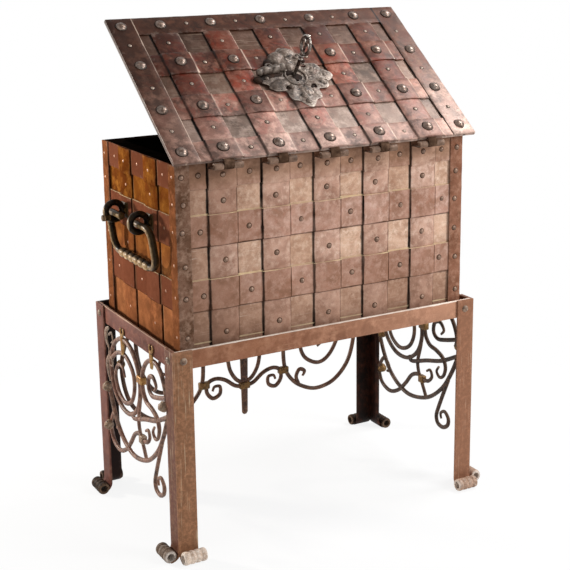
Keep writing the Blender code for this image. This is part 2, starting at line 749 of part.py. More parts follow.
def hoop_path(woven):
    """Middle line of a hoop round the walls, rising over the straps where it is woven."""
    low = GAP + STRAP_IRON / 2
    high = low + LAYER
    half_x, half_y = WALL_HALF_WIDTH, WALL_HALF_DEPTH
    long_places = long_strap_places() if woven else []
    short_places = short_strap_places() if woven else []
    back = woven_path(long_places, -half_x - low, half_x + low, low, high)
    right = woven_path(short_places, -half_y - low, half_y + low, low, high)
    path = [(u, -half_y - v) for u, v in back[:-1]]
    path += [(half_x + v, u) for u, v in right[:-1]]
    path += [(-u, half_y + v) for u, v in back[:-1]]
    path += [(-half_x - v, -u) for u, v in right[:-1]]
    return path


def build_hoops(assembly, iron):
    """Three flat hoops; the straps pass over the top one and under the other two."""
    half = HOOP_WIDTH / 2
    rows = {
        "hoop_top": (False, STRAP_TOP - TOP_HOOP_WIDTH, STRAP_TOP),
        "hoop_upper": (True, UPPER_HOOP_HEIGHT - half, UPPER_HOOP_HEIGHT + half),
        "hoop_lower": (True, LOWER_HOOP_HEIGHT - half, LOWER_HOOP_HEIGHT + half),
    }
    for name, (woven, low, high) in rows.items():
        path = hoop_path(woven)
        shift = [STRAP_IRON / 2] * len(path)
        loops = [offset_path(path, [side * d for d in shift], closed=True) for side in (-1, 1)]
        add_part(assembly, name, prism(loops, "XY", low, high), iron)


def wall_strap_side(half_depth):
    """Strap's middle line up one wall, from its foot to just under the top hoop's level."""
    inner = half_depth + GAP + STRAP_IRON / 2
    outer = inner + LAYER
    step = STRAP_TOP - TOP_HOOP_WIDTH - STRAP_IRON / 2 - GAP
    return inner, outer, step


def long_strap_mesh(place):
    """Strap that runs from its hinge eyes down the back, under the bottom and up the front."""
    inner, outer, step = wall_strap_side(WALL_HALF_DEPTH)
    under = CHEST_BASE - GAP - STRAP_IRON / 2
    tongue = HINGE_Z - HINGE_EYE_RADIUS
    bend = STRAP_BEND
    eye = arc((HINGE_Y, HINGE_Z), HINGE_EYE_RADIUS, -90, -330, 10)
    path = eye[::-1]
    path += arc((-outer - bend, tongue - bend), bend, 90, 0, 3)
    path += [(-outer, step), (-inner, step - JOGGLE)]
    path += [(-inner, under), (inner, under)]
    path += [(inner, step - JOGGLE), (outer, step), (outer, STRAP_TOP)]
    half_width = STRAP_WIDTH / 2
    strap = prism([band_outline(path, STRAP_IRON)], "YZ", place - half_width, place + half_width)
    half_eye = HINGE_EYE_WIDTH / 2 + RUNNING_GAP
    reach = HINGE_EYE_RADIUS + STRAP_IRON
    notch_low = (place - half_eye, HINGE_Y - reach, HINGE_Z - reach)
    notch_high = (place + half_eye, HINGE_Y + reach, HINGE_Z + reach)
    strap = combine(strap, [box(notch_low, notch_high)], "DIFFERENCE")
    return combine(strap, [hinge_pin(place, half_width, half_eye)])


def hinge_pin(place, half_width, half_eye):
    """Pin riveted fast in the strap's outer eyes and free in the lid's eye between them."""
    tight = HINGE_EYE_RADIUS - STRAP_IRON / 4
    profile = [
        (0.0, half_width),
        (tight, half_width),
        (tight, half_eye),
        (HINGE_PIN_RADIUS, half_eye),
        (HINGE_PIN_RADIUS, -half_eye),
        (tight, -half_eye),
        (tight, -half_width),
        (0.0, -half_width),
    ]
    pin = turned(profile, 12)
    pin.transform(Matrix.Translation((place, HINGE_Y, HINGE_Z)) @ Matrix.Rotation(math.radians(90), 4, "Y"))
    return pin


def build_wall_straps(assembly, iron):
    """Long straps round the box and short straps on its ends."""
    for number, place in enumerate(long_strap_places(), 1):
        add_part(assembly, f"long_strap_{number}", long_strap_mesh(place), iron)
    inner, outer, step = wall_strap_side(WALL_HALF_WIDTH)
    foot = CHEST_BASE - LAYER
    path = [(inner, foot), (inner, step - JOGGLE), (outer, step), (outer, STRAP_TOP)]
    half_width = STRAP_WIDTH / 2
    for side, turn in (("right", 1), ("left", -1)):
        for number, place in enumerate(short_strap_places(), 1):
            outline = band_outline([(turn * u, v) for u, v in path], STRAP_IRON)
            mesh = prism([outline], "XZ", place - half_width, place + half_width)
            add_part(assembly, f"{side}_strap_{number}", mesh, iron)


# Lid, built closed about its hinge axis: x along the axis, y forwards, z up


def studs(places, height):
    """Domed rivet heads standing on a strap."""
    profile = [
        (0.0, STUD_HEIGHT),
        (0.62 * STUD_RADIUS, 0.80 * STUD_HEIGHT),
        (STUD_RADIUS, 0.0),
        (STUD_RADIUS, -STRAP_IRON / 2),
        (0.0, -STRAP_IRON / 2),
    ]
    return [moved(turned(profile, STUD_SIDES), (x, y, height)) for x, y in places]


def keyhole_cutter(low, high):
    """Round hole with a slot towards the hinges, through everything from low to high."""
    radius = KEY_SHANK_RADIUS + KEYHOLE_PLAY
    slot = KEY_BIT_LENGTH + KEYHOLE_SLOT_PLAY
    half = KEY_BIT_IRON / 2 + RUNNING_GAP
    shoulder = math.degrees(math.asin(half / radius))
    outline = arc((0.0, 0.0), radius, -90 + shoulder, 270 - shoulder, 12)
    outline += [(-half, -slot), (half, -slot)]
    return moved(prism([outline], "XY", low, high), (0.0, KEY_Y, 0.0))


def lid_strap_mesh(place):
    """Strap over the lid that ends in the hinge's middle eye."""
    level = LID_TOP + GAP + STRAP_IRON / 2
    bend = level
    path = [(FRAME_BACK_OF_FRONT - GAP, level)]
    path += arc((bend - HINGE_EYE_RADIUS, 0.0), bend, 90, 180, 6)[:-1]
    path += arc((0.0, 0.0), HINGE_EYE_RADIUS, 180, 390, 9)
    half_width = STRAP_WIDTH / 2
    strap = prism([band_outline(path, STRAP_IRON)], "YZ", place - half_width, place + half_width)
    half_eye = HINGE_EYE_WIDTH / 2
    reach = HINGE_EYE_RADIUS + 2 * STRAP_IRON
    cutters = []
    for side in (-1, 1):
        edges = sorted((place + side * half_eye, place + side * 2 * half_width))
        cutters.append(box((edges[0], -reach, -reach), (edges[1], LID_BACK, 2 * level)))
    return combine(strap, cutters, "DIFFERENCE")


def lid_band_mesh(low, high, stud_places):
    """Cross strap woven over the lid's straps, with its rivet heads."""
    level = LID_TOP + GAP + STRAP_IRON / 2
    end = LID_HALF_WIDTH - FRAME_SIDE_WIDTH - GAP
    path = woven_path(long_strap_places(), -end, end, level, level + LAYER)
    band = prism([band_outline(path, STRAP_IRON)], "XZ", low, high)
    top = LID_TOP + 2 * LAYER
    middle = (low + high) / 2
    return combine(band, studs([(x, middle) for x in stud_places], top))


def frame_mesh(band_middles):
    """Edge frame round the lid's two sides and front, with its rivet heads."""
    outer, inner = LID_HALF_WIDTH, LID_HALF_WIDTH - FRAME_SIDE_WIDTH
    turn = FRAME_BACK_OF_FRONT
    outline = [(-outer, LID_BACK), (-inner, LID_BACK), (-inner, turn), (inner, turn), (inner, LID_BACK)]
    outline += [(outer, LID_BACK), (outer, LID_FRONT), (-outer, LID_FRONT)]
    low = LID_TOP + GAP
    frame = prism([outline], "XY", low, low + FRAME_IRON)
    side = outer - FRAME_SIDE_WIDTH / 2
    front = LID_FRONT - FRAME_FRONT_WIDTH / 2
    places = [(x, front) for x in (-side, *long_strap_places(), side)]
    places += [(s * side, middle) for s in (-1, 1) for middle in band_middles]
    return combine(frame, studs(places, low + FRAME_IRON))


def build_lid(assembly, iron, hinge):
    """Lid plate with its frame and woven straps."""
    half = LID_HALF_WIDTH
    cutter = keyhole_cutter(LID_UNDERSIDE - LID_IRON, LID_TOP + 2 * LAYER)
    plate = box((-half, LID_BACK, LID_UNDERSIDE), (half, LID_FRONT, LID_TOP))
    plate = combine(plate, [cutter], "DIFFERENCE")
    add_part(assembly, "lid_plate", plate, iron, hinge)
    rows = {
        "lid_band_back": (LID_BACK, LID_BACK + BACK_BAND_WIDTH),
        "lid_band_middle": (MIDDLE_BAND_BACK, MIDDLE_BAND_BACK + LID_BAND_WIDTH),
        "lid_band_front": (FRONT_BAND_BACK, FRONT_BAND_BACK + LID_BAND_WIDTH),
    }
    middles = [(low + high) / 2 for low, high in rows.values()]
    add_part(assembly, "lid_frame", frame_mesh(middles), iron, hinge)
    places = long_strap_places()
    for number, place in enumerate(places, 1):
        strap = lid_strap_mesh(place)
        if abs(place) < STRAP_WIDTH / 2:
            cutter = keyhole_cutter(LID_UNDERSIDE, LID_TOP + 2 * LAYER)
            strap = combine(strap, [cutter], "DIFFERENCE")
        add_part(assembly, f"lid_strap_{number}", strap, iron, hinge)
    for name, (low, high) in rows.items():
        covered = 0.0 if name == "lid_band_back" else ESCUTCHEON_RADIUS
        stud_places = [x for x in places if abs(x) >= covered]
        add_part(assembly, name, lid_band_mesh(low, high, stud_places), iron, hinge)


# Lock


def escutcheon_mesh():
    """Lobed steel plate with pierced petals and a raised collar round the keyhole."""
    low = LID_TOP + 2 * LAYER + GAP
    high = low + ESCUTCHEON_IRON
    middle = KEY_Y + ESCUTCHEON_SHIFT
    outline = []
    steps = 48
    for i in range(steps):
        angle = 2 * math.pi * i / steps
        radius = ESCUTCHEON_RADIUS + ESCUTCHEON_LOBE * math.cos(4 * angle)
        radius += ESCUTCHEON_FRILL * math.cos(12 * angle)
        outline.append((radius * math.cos(angle), middle + radius * math.sin(angle)))
    petals = []
    for i in range(4):
        out = (KEYHOLE_RING_RADIUS + ESCUTCHEON_RADIUS - ESCUTCHEON_LOBE) / 2
        angle = math.radians(45 + 90 * i)
        centre = (out * math.cos(angle), middle + out * math.sin(angle))
        petals.append(arc(centre, PIERCING_RADIUS, 0, 360, 8)[:-1])
    plate = prism([outline, *petals], "XY", low, high)
    outer = KEYHOLE_RING_RADIUS
    inner = outer - KEYHOLE_RING_WALL
    sunk = high - ESCUTCHEON_IRON / 2
    shoulder = high + KEYHOLE_RING_RISE / 2
    crest = ((inner + outer) / 2, high + KEYHOLE_RING_RISE)
    profile = [(inner, sunk), (inner, shoulder), crest, (outer, shoulder), (outer, sunk), (inner, sunk)]
    collar = moved(turned(profile, 20), (0.0, middle, 0.0))
    plate = combine(plate, [collar])
    return combine(plate, [keyhole_cutter(low - GAP, high + KEYHOLE_RING_RISE)], "DIFFERENCE")


def key_levels():
    """Lower edge of the key's bit, under the lock plate, and the end of its pilot."""
    bit_low = LID_UNDERSIDE - GAP - LOCK_PLATE_IRON - RUNNING_GAP - KEY_BIT_HEIGHT
    return bit_low, bit_low - KEY_PILOT


def key_mesh():
    """Key along z with its bow above the lid and its bit inside the lock."""
    surface = LID_TOP + 2 * LAYER + GAP + ESCUTCHEON_IRON
    bow_middle = surface + KEY_BOW_HEIGHT
    neck = bow_middle - KEY_BOW_HALF_HEIGHT
    bit_low, foot = key_levels()
    bead = KEY_BEAD_RADIUS - KEY_SHANK_RADIUS
    profile = [
        (0.0, neck + KEY_BOW_WIRE),
        (KEY_SHANK_RADIUS, neck + KEY_BOW_WIRE),
        (KEY_SHANK_RADIUS, neck - bead),
        (KEY_BEAD_RADIUS, neck - 2 * bead),
        (KEY_BEAD_RADIUS, neck - 3 * bead),
        (KEY_SHANK_RADIUS, neck - 4 * bead),
        (KEY_SHANK_RADIUS, foot),
        (0.0, foot),
    ]
    shank = turned(profile, 10)
    bow_path = []
    for u, v in arc((0.0, 0.0), 1.0, 0, 360, 18)[:-1]:
        bow_path.append((0.0, u * KEY_BOW_HALF_WIDTH, bow_middle + v * KEY_BOW_HALF_HEIGHT))
    bow = tube(bow_path, KEY_BOW_WIRE, closed=True, resolution=1)
    crown = bow_middle + KEY_BOW_HALF_HEIGHT
    spine = tube([(0.0, 0.0, neck), (0.0, 0.0, crown)], 0.8 * KEY_BOW_WIRE, resolution=1)
    half = KEY_BIT_IRON / 2
    bit = box((-half, -KEY_BIT_LENGTH, bit_low), (half, 0.0, bit_low + KEY_BIT_HEIGHT))
    return combine(shank, [bow, spine, bit])


def bolt_levels():
    """Lowest and highest level of the bolts, just under the closed rim flange."""
    high = HINGE_BELOW - SHEET_IRON - RUNNING_GAP
    return high - BOLT_IRON, high


def build_lock(assembly, steel, iron, hinge):
    """Escutcheon and key above the lid, lock plate, case and bolts below it."""
    add_part(assembly, "escutcheon", escutcheon_mesh(), steel, hinge)
    key_axis = add_axis(assembly, "key_axis", (0.0, KEY_Y, 0.0), hinge)
    add_part(assembly, "key", key_mesh(), steel, key_axis)

    rim_x = WALL_HALF_WIDTH - RIM_WIDTH
    rim_front = WALL_HALF_DEPTH - RIM_WIDTH - HINGE_Y
    rim_back = -WALL_HALF_DEPTH + RIM_WIDTH - HINGE_Y
    plate_high = LID_UNDERSIDE - GAP
    plate_low = plate_high - LOCK_PLATE_IRON
    margin = LOCK_PLATE_MARGIN
    edge = rim_x - margin
    plate = box((-edge, rim_back + margin, plate_low), (edge, rim_front - margin, plate_high))
    plate = combine(plate, [keyhole_cutter(plate_low - GAP, plate_high + GAP)], "DIFFERENCE")
    add_part(assembly, "lock_plate", plate, iron, hinge)

    low, high = bolt_levels()
    half_x, half_y = LOCK_CASE_WIDTH / 2, LOCK_CASE_DEPTH / 2
    wall = LOCK_CASE_WALL
    case_high = plate_low - GAP
    case_low = key_levels()[1] - LOCK_CASE_PLAY - wall
    case = box((-half_x, KEY_Y - half_y, case_low), (half_x, KEY_Y + half_y, case_high))
    hollow_low = (wall - half_x, KEY_Y - half_y + wall, case_low + wall)
    hollow = box(hollow_low, (half_x - wall, KEY_Y + half_y - wall, case_high + wall))
    half_slot = BOLT_WIDTH / 2 + RUNNING_GAP
    slot_low, slot_high = low - RUNNING_GAP, case_high + wall
    side_slot = box((-2 * half_x, KEY_Y - half_slot, slot_low), (2 * half_x, KEY_Y + half_slot, slot_high))
    front_slot = box((-half_slot, KEY_Y, slot_low), (half_slot, KEY_Y + 2 * half_y, slot_high))
    case = combine(case, [hollow, side_slot, front_slot], "DIFFERENCE")
    add_part(assembly, "lock_case", case, iron, hinge)

    talon = KEY_BIT_LENGTH + RUNNING_GAP
    half = BOLT_WIDTH / 2
    for side, turn in (("left", -1), ("right", 1)):
        ends = sorted((turn * talon, turn * (rim_x - BOLT_SETBACK)))
        bolt = box((ends[0], KEY_Y - half, low), (ends[1], KEY_Y + half, high))
        add_part(assembly, f"{side}_bolt", bolt, steel, hinge)
    tip = rim_front - BOLT_SETBACK
    bridge = KEY_Y + half_y + BOLT_THROW
    spread = BOLT_SPREAD
    outline = [(-half, KEY_Y + talon), (half, KEY_Y + talon), (half, bridge), (spread + half, bridge)]
    outline += [(spread + half, tip), (spread - half, tip), (spread - half, bridge + BOLT_WIDTH)]
    outline += [(half - spread, bridge + BOLT_WIDTH), (half - spread, tip), (-half - spread, tip)]
    outline += [(-half - spread, bridge), (-half, bridge)]
    add_part(assembly, "front_bolt", prism([outline], "XY", low, high), steel, hinge)


# Handles


def bail_mesh():
    """Bail about its own axis: it hangs below and its ends turn in through the staples."""
    staple = short_strap_places()[-1]
    arm = BAIL_HALF_WIDTH
    tip = staple - BAIL_RUN_IN
    path = [(tip, 0.0), (tip + BAIL_TIP_RADIUS, 0.0)]
    path += arc((arm - BAIL_ELBOW, -BAIL_ELBOW), BAIL_ELBOW, 90, 0, 4)
    path += arc((arm - BAIL_CORNER, BAIL_CORNER - BAIL_DROP), BAIL_CORNER, 0, -90, 4)
    sizes = [BAIL_TIP_RADIUS] + [BAIL_BAR_RADIUS] * (len(path) - 1)
    last = len(path) - 1
    grip = arm - BAIL_CORNER - GRIP_END
    for i in range(2 * GRIP_RIBS + 1):
        path.append((grip - i * grip / GRIP_RIBS, -BAIL_DROP))
        sizes.append(GRIP_RADIUS if i % 2 else GRIP_WAIST)
    path += [(-u, v) for u, v in path[last::-1]]
    sizes += sizes[last::-1]
    shares = [size / BAIL_BAR_RADIUS for size in sizes]
    return tube([(0.0, BAIL_SHIFT + u, v) for u, v in path], BAIL_BAR_RADIUS, shares)


def staple_mesh():
    """Ring staple with its shank and washer, about the bail's axis, with the wall on its +X side."""
    lift = STAPLE_PLAY - STAPLE_SEAT_GAP
    ring_path = [(u, 0.0, v) for u, v in arc((0.0, lift), STAPLE_RING_RADIUS, 0, 360, 16)[:-1]]
    ring = tube(ring_path, STAPLE_WIRE, closed=True, resolution=1)
    wall = BAIL_STANDOFF - GAP
    washer_face = wall - STAPLE_WASHER_IRON
    shank = tube([(STAPLE_RING_RADIUS, 0.0, lift), (wall, 0.0, lift)], STAPLE_SHANK)
    half = STAPLE_WASHER / 2
    washer = box((washer_face, -half, lift - half), (wall, half, lift + half))
    return combine(ring, [shank, washer])


def build_handles(assembly, iron):
    """Bail handle with two staples on each end of the chest."""
    bail = bail_mesh()
    staple = staple_mesh()
    for side, turn in (("left", -1), ("right", 1)):
        place = (turn * (CHEST_WIDTH / 2 + BAIL_STANDOFF), 0.0, UPPER_HOOP_HEIGHT)
        axis = add_axis(assembly, f"{side}_bail_axis", place)
        swung = bail.copy()
        swung.transform(Matrix.Rotation(turn * BAIL_HANG, 4, "Y"))
        add_part(assembly, f"{side}_bail", swung, iron, axis)
        for end, offset in zip(("back", "front"), short_strap_places()):
            node = add_part(assembly, f"{side}_staple_{end}", staple.copy(), iron)
            node.location = (place[0], offset, place[2])
            node.rotation_euler.z = math.pi if turn > 0 else 0.0


def main():
    """Build the whole object."""
    clear_scene()
    assembly = make_collection("war_chest_on_stand")
    stand_iron = make_material("stand_iron", (0.30, 0.17, 0.13), 0.62, 0.35)
    scroll_iron = make_material("scroll_iron", (0.22, 0.16, 0.12), 0.55, 0.55)
    chest_iron = make_material("chest_iron", (0.33, 0.19, 0.12), 0.60, 0.35)
    strap_iron = make_material("strap_iron", (0.36, 0.22, 0.17), 0.58, 0.40)
    lid_iron = make_material("lid_iron", (0.24, 0.11, 0.07), 0.50, 0.45)
    steel = make_material("lock_steel", (0.42, 0.40, 0.37), 0.38, 0.90)
    handle_iron = make_material("handle_iron", (0.06, 0.05, 0.04), 0.45, 0.80)

    build_legs(assembly, stand_iron)
    build_rails(assembly, stand_iron)
    build_scrollwork(assembly, scroll_iron)
    build_box(assembly, chest_iron)
    build_corners(assembly, strap_iron)
    build_hoops(assembly, strap_iron)
    build_wall_straps(assembly, strap_iron)
    hinge = add_axis(assembly, "lid_hinge", (0.0, HINGE_Y, HINGE_Z))
    hinge.rotation_euler.x = LID_OPEN_ANGLE
    build_lid(assembly, lid_iron, hinge)
    build_lock(assembly, steel, lid_iron, hinge)
    build_handles(assembly, handle_iron)


main()
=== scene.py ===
"""Looks of a war chest on a wrought-iron stand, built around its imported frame."""

import logging
import math
import random
from dataclasses import dataclass, replace
from enum import Enum
from functools import cache, reduce
from itertools import pairwise
from typing import Any, Sequence

import bpy
from bpy.types import Material, Node, NodeSocket, NodeTree, Object
from mathutils import Matrix, Vector


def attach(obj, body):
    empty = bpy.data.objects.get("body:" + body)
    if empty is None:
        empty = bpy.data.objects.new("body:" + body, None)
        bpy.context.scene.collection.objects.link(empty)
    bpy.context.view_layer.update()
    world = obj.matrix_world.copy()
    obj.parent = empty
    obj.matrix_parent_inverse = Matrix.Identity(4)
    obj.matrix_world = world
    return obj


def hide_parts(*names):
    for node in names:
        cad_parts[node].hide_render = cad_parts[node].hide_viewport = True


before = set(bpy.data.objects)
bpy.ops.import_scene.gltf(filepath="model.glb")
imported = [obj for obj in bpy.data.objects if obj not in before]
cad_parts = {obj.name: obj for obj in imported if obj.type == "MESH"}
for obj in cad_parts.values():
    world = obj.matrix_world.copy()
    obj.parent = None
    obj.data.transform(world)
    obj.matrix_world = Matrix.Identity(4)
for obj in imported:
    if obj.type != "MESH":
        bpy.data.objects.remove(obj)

Point2 = tuple[float, float]
Point3 = tuple[float, float, float]
Colour = tuple[float, float, float, float]
log = logging.getLogger("war_chest")

# Sizes that several sub-assemblies share, in metres
GAP = 0.0003
SUNK = 0.0003
STRAP_IRON = 0.003
LAYER = STRAP_IRON + GAP
STRAP_WIDTH = 0.073
HALF_STRAP = STRAP_WIDTH / 2
JOGGLE = 0.0035
CROWN = 0.0022
SPAN = 0.014
LONG_PLACES = (-0.28, -0.14, 0.0, 0.14, 0.28)
SHORT_PLACES = (-0.0785, 0.0785)
EYE_RADIUS = 0.0065
EYE_WIDTH = 0.025
EYE_EDGE = 0.0004
STAND_WIDTH = 0.858
STAND_DEPTH = 0.494
LEG_FLANGE = 0.050
LEG_IRON = 0.005
HINGE_Y = -0.2548
HINGE_Z = 0.9446
LID_OPEN = math.radians(37.5)
LID_PLACE = Matrix.Translation((0.0, HINGE_Y, HINGE_Z)) @ Matrix.Rotation(LID_OPEN, 4, "X")
KEY_PLACE = 0.253425
SIDES = {"left": -1, "right": 1}
CORNERS = {"back_left": (-1, -1, 0), "back_right": (1, -1, 90), "front_right": (1, 1, 180), "front_left": (-1, 1, 270)}

# Limits and counts of the modelling steps
STRIPS = 6
CROWN_SHARES = (-1.0, -0.6, -0.2, 0.2, 0.6, 1.0)
MERGE = 1e-5
SHARP = math.radians(32)
FORGED = math.radians(25)
FLAT = math.radians(1)
MOST_SPIN = 6


class Body(Enum):
    """Moving bodies of the frame."""

    CHEST = "chest_and_stand"
    LID = "lid"
    KEY = "key"
    LEFT_BAIL = "bail_left"
    RIGHT_BAIL = "bail_right"


class Slot(Enum):
    """Material slots of the record."""

    STAND = "stand_iron"
    SCROLL = "scroll_iron"
    STRAP = "strap_iron"
    LID = "lid_iron"
    LOCK = "lock_steel"
    HANDLE = "handle_iron"


class Axis(Enum):
    """Axes that a tint, a seam or a strap is measured along."""

    X = 0
    Y = 1
    Z = 2


# Places and paths


def at(*place: float) -> Matrix:
    """Move to a place."""
    return Matrix.Translation(place)


def turned_by(degrees: float, axis: str) -> Matrix:
    """Turn about an axis through the origin."""
    return Matrix.Rotation(math.radians(degrees), 4, axis)


def scaled(x: float, y: float, z: float) -> Matrix:
    """Stretch along the three axes."""
    return Matrix.Diagonal((x, y, z, 1.0))


def facing(point: Point3, normal: Point3, spin: float = 0.0) -> Matrix:
    """Placement that stands a form's +Z on a surface along its normal, turned by a spin in radians."""
    turn = Vector(normal).to_track_quat("Z", "Y").to_matrix().to_4x4()
    return at(*point) @ turn @ Matrix.Rotation(spin, 4, "Z")


def corner_places(half_x: float, half_y: float) -> dict[str, Matrix]:
    """Placements of a form at the four corners of a rectangle.

    Args:
        half_x: Half the rectangle's width.
        half_y: Half its depth.

    Returns:
        The placements by the corner's name.
    """
    return {
        name: at(x * half_x, y * half_y, 0.0) @ turned_by(turn, "Z")
        for name, (x, y, turn) in CORNERS.items()
    }


def arc(centre: Point2, radius: float, start: float, end: float, steps: int) -> list[Point2]:
    """Points on an arc between two angles in degrees, both ends included."""
    turns = [math.radians(start + (end - start) * i / steps) for i in range(steps + 1)]
    return [(centre[0] + radius * math.cos(a), centre[1] + radius * math.sin(a)) for a in turns]


def smooth(points: Sequence[Point2], steps: int, closed: bool = False) -> list[Point2]:
    """Curve through given points.

    Args:
        points: The points that it passes.
        steps: Spans between two of them.
        closed: True for a loop.

    Returns:
        The points of the curve.
    """
    ends = [points[0], *points, points[-1]]
    if closed:
        ends = [points[-1], *points, points[0], points[1]]
    path = []
    for corners in zip(ends, ends[1:], ends[2:], ends[3:]):
        for t in (i / steps for i in range(steps)):
            weights = (
                -0.5 * t + t**2 - 0.5 * t**3,
                1 - 2.5 * t**2 + 1.5 * t**3,
                0.5 * t + 2 * t**2 - 1.5 * t**3,
                -0.5 * t**2 + 0.5 * t**3,
            )
            path.append(tuple(sum(w * c[k] for w, c in zip(weights, corners)) for k in (0, 1)))
    return path if closed else [*path, tuple(points[-1])]


def filled(path: Sequence[Point3], longest: float = SPAN) -> list[Point3]:
    """Path with further points on its long spans.

    Args:
        path: Corner points.
        longest: Longest span that is left.

    Returns:
        The corner points and those between them.
    """
    points = [tuple(path[0])]
    for start, end in pairwise(path):
        count = max(1, math.ceil(math.dist(start, end) / longest))
        points += [tuple(Vector(start).lerp(Vector(end), i / count)) for i in range(1, count + 1)]
    return points


def woven(places: Sequence[float], start: float, end: float, low: float, high: float) -> list[Point2]:
    """Path that rises over each strap it crosses.

    Args:
        places: Middles of the straps.
        start: Where the path starts.
        end: Where it ends.
        low: Level between straps.
        high: Level over a strap.

    Returns:
        Places along the path with their levels.
    """
    reach = HALF_STRAP + STRAP_IRON / 2
    points = [(start, low)]
    for place in places:
        points.append((place - reach - JOGGLE, low))
        points += [(place + s * reach, high + CROWN * (1.0 - s * s)) for s in CROWN_SHARES]
        points.append((place + reach + JOGGLE, low))
    return [*points, (end, low)]


def along_path(count: int) -> list[float]:
    """Even shares from 0 to 1, one for each of some spans and one more."""
    return [i / count for i in range(count + 1)]


# Hand tools


class Bench:
    """Modelling steps; each leaves its mesh at the origin with its place in its vertices."""

    @staticmethod
    def clear() -> None:
        """Leave edit mode and deselect everything."""
        if bpy.context.mode != "OBJECT":
            bpy.ops.object.mode_set(mode="OBJECT")
        bpy.ops.object.select_all(action="DESELECT")

    @staticmethod
    def focus(*objects: Object) -> None:
        """Select some objects alone.

        Args:
            *objects: The objects; the first one becomes active.
        """
        Bench.clear()
        for obj in objects:
            obj.select_set(True)
        bpy.context.view_layer.objects.active = objects[0]

    @staticmethod
    def added(name: str) -> Object:
        """The primitive that was just added, under a name of its own."""
        bpy.context.object.name = name
        return bpy.context.object

    @staticmethod
    def edit(obj: Object, mode: str = "VERT") -> None:
        """Open a mesh for editing with everything selected.

        Args:
            obj: The mesh.
            mode: What is selected: VERT, EDGE or FACE.
        """
        Bench.focus(obj)
        bpy.ops.object.mode_set(mode="EDIT")
        bpy.ops.mesh.select_mode(type=mode)
        bpy.ops.mesh.select_all(action="SELECT")

    @staticmethod
    def close(obj: Object) -> Object:
        """Merge doubles, turn the faces outwards and leave edit mode.

        Args:
            obj: The mesh.

        Returns:
            The mesh.
        """
        Bench.edit(obj)
        bpy.ops.mesh.remove_doubles(threshold=MERGE)
        bpy.ops.mesh.normals_make_consistent(inside=False)
        bpy.ops.object.mode_set(mode="OBJECT")
        return obj

    @staticmethod
    def modify(obj: Object, kind: str, **settings: Any) -> Object:
        """Add a modifier and apply it.

        Args:
            obj: The mesh.
            kind: Type of the modifier.
            **settings: Its properties.

        Returns:
            The mesh.
        """
        Bench.focus(obj)
        modifier = obj.modifiers.new(kind.title(), kind)
        for key, value in settings.items():
            setattr(modifier, key, value)
        bpy.ops.object.modifier_apply(modifier=modifier.name)
        return obj

    @staticmethod
    def ease(obj: Object, edge: float, segments: int = 2, limit: float = SHARP) -> Object:
        """Round the edges of a mesh that are sharper than a limit."""
        return Bench.modify(obj, "BEVEL", width=edge, segments=segments, limit_method="ANGLE", angle_limit=limit)

    @staticmethod
    def soften(obj: Object, angle: float = 40.0) -> Object:
        """Shade a mesh smooth up to an angle between its faces.

        Args:
            obj: The mesh.
            angle: The angle in degrees.

        Returns:
            The mesh.
        """
        Bench.focus(obj)
        bpy.ops.object.shade_smooth_by_angle(angle=math.radians(angle))
        return obj

    @staticmethod
    def place(obj: Object, matrix: Matrix) -> Object:
        """Move a form and write the move into its vertices.

        Args:
            obj: The form.
            matrix: Its placement.

        Returns:
            The form.
        """
        Bench.focus(obj)
        obj.matrix_world = matrix
        bpy.ops.object.transform_apply(location=True, rotation=True, scale=True)
        return obj

    @staticmethod
    def chain(name: str, points: Sequence[Point3]) -> Object:
        """Edges drawn out of one vertex, point by point; edit mode stays open.

        Args:
            name: Name of the piece.
            points: Places of the vertices.

        Returns:
            The open chain.
        """
        Bench.clear()
        bpy.ops.mesh.primitive_plane_add(size=0.01)
        obj = Bench.added(name)
        Bench.edit(obj)
        bpy.ops.mesh.merge(type="CENTER")
        bpy.ops.transform.translate(value=points[0])
        for start, end in pairwise(points):
            step = tuple(b - a for a, b in zip(start, end))
            bpy.ops.mesh.extrude_vertices_move(TRANSFORM_OT_translate={"value": step})
        return obj

    @staticmethod
    def sheet(name: str, path: Sequence[Point3], across: Point3, count: int = STRIPS) -> Object:
        """Thin sheet: a chain drawn out sideways in equal strips.

        Args:
            name: Name of the piece.
            path: Points along the sheet.
            across: Way from one side of the sheet to the other.
            count: Number of strips.

        Returns:
            The open sheet.
        """
        obj = Bench.chain(name, path)
        bpy.ops.mesh.select_all(action="SELECT")
        for _ in range(count):
            bpy.ops.mesh.extrude_edges_move(TRANSFORM_OT_translate={"value": tuple(c / count for c in across)})
        return Bench.close(obj)

    @staticmethod
    def thicken(obj: Object, iron: float, edge: float) -> Object:
        """Give a sheet its thickness about its middle and round its edges."""
        Bench.modify(obj, "SOLIDIFY", thickness=iron, offset=0.0, use_even_offset=True)
        return Bench.soften(Bench.ease(Bench.close(obj), edge))

    @staticmethod
    def hammer(obj: Object, depth: float, size: float = 0.03) -> Object:
        """Leave the shallow unevenness of hammer work in a form.

        Args:
            obj: The form.
            depth: Depth of the dents.
            size: Their size.

        Returns:
            The form.
        """
        dents = bpy.data.textures.new("hammer_dents", "CLOUDS")
        dents.noise_scale = size
        settings = {"texture": dents, "strength": depth, "mid_level": 0.5, "texture_coords": "LOCAL"}
        return Bench.modify(obj, "DISPLACE", **settings)

    @staticmethod
    def beaten(obj: Object, dents: float, edge: float, iron: float = STRAP_IRON) -> Object:
        """Hammer a strap's open sheet and give it its thickness."""
        return Bench.thicken(Bench.hammer(obj, dents), iron, edge)

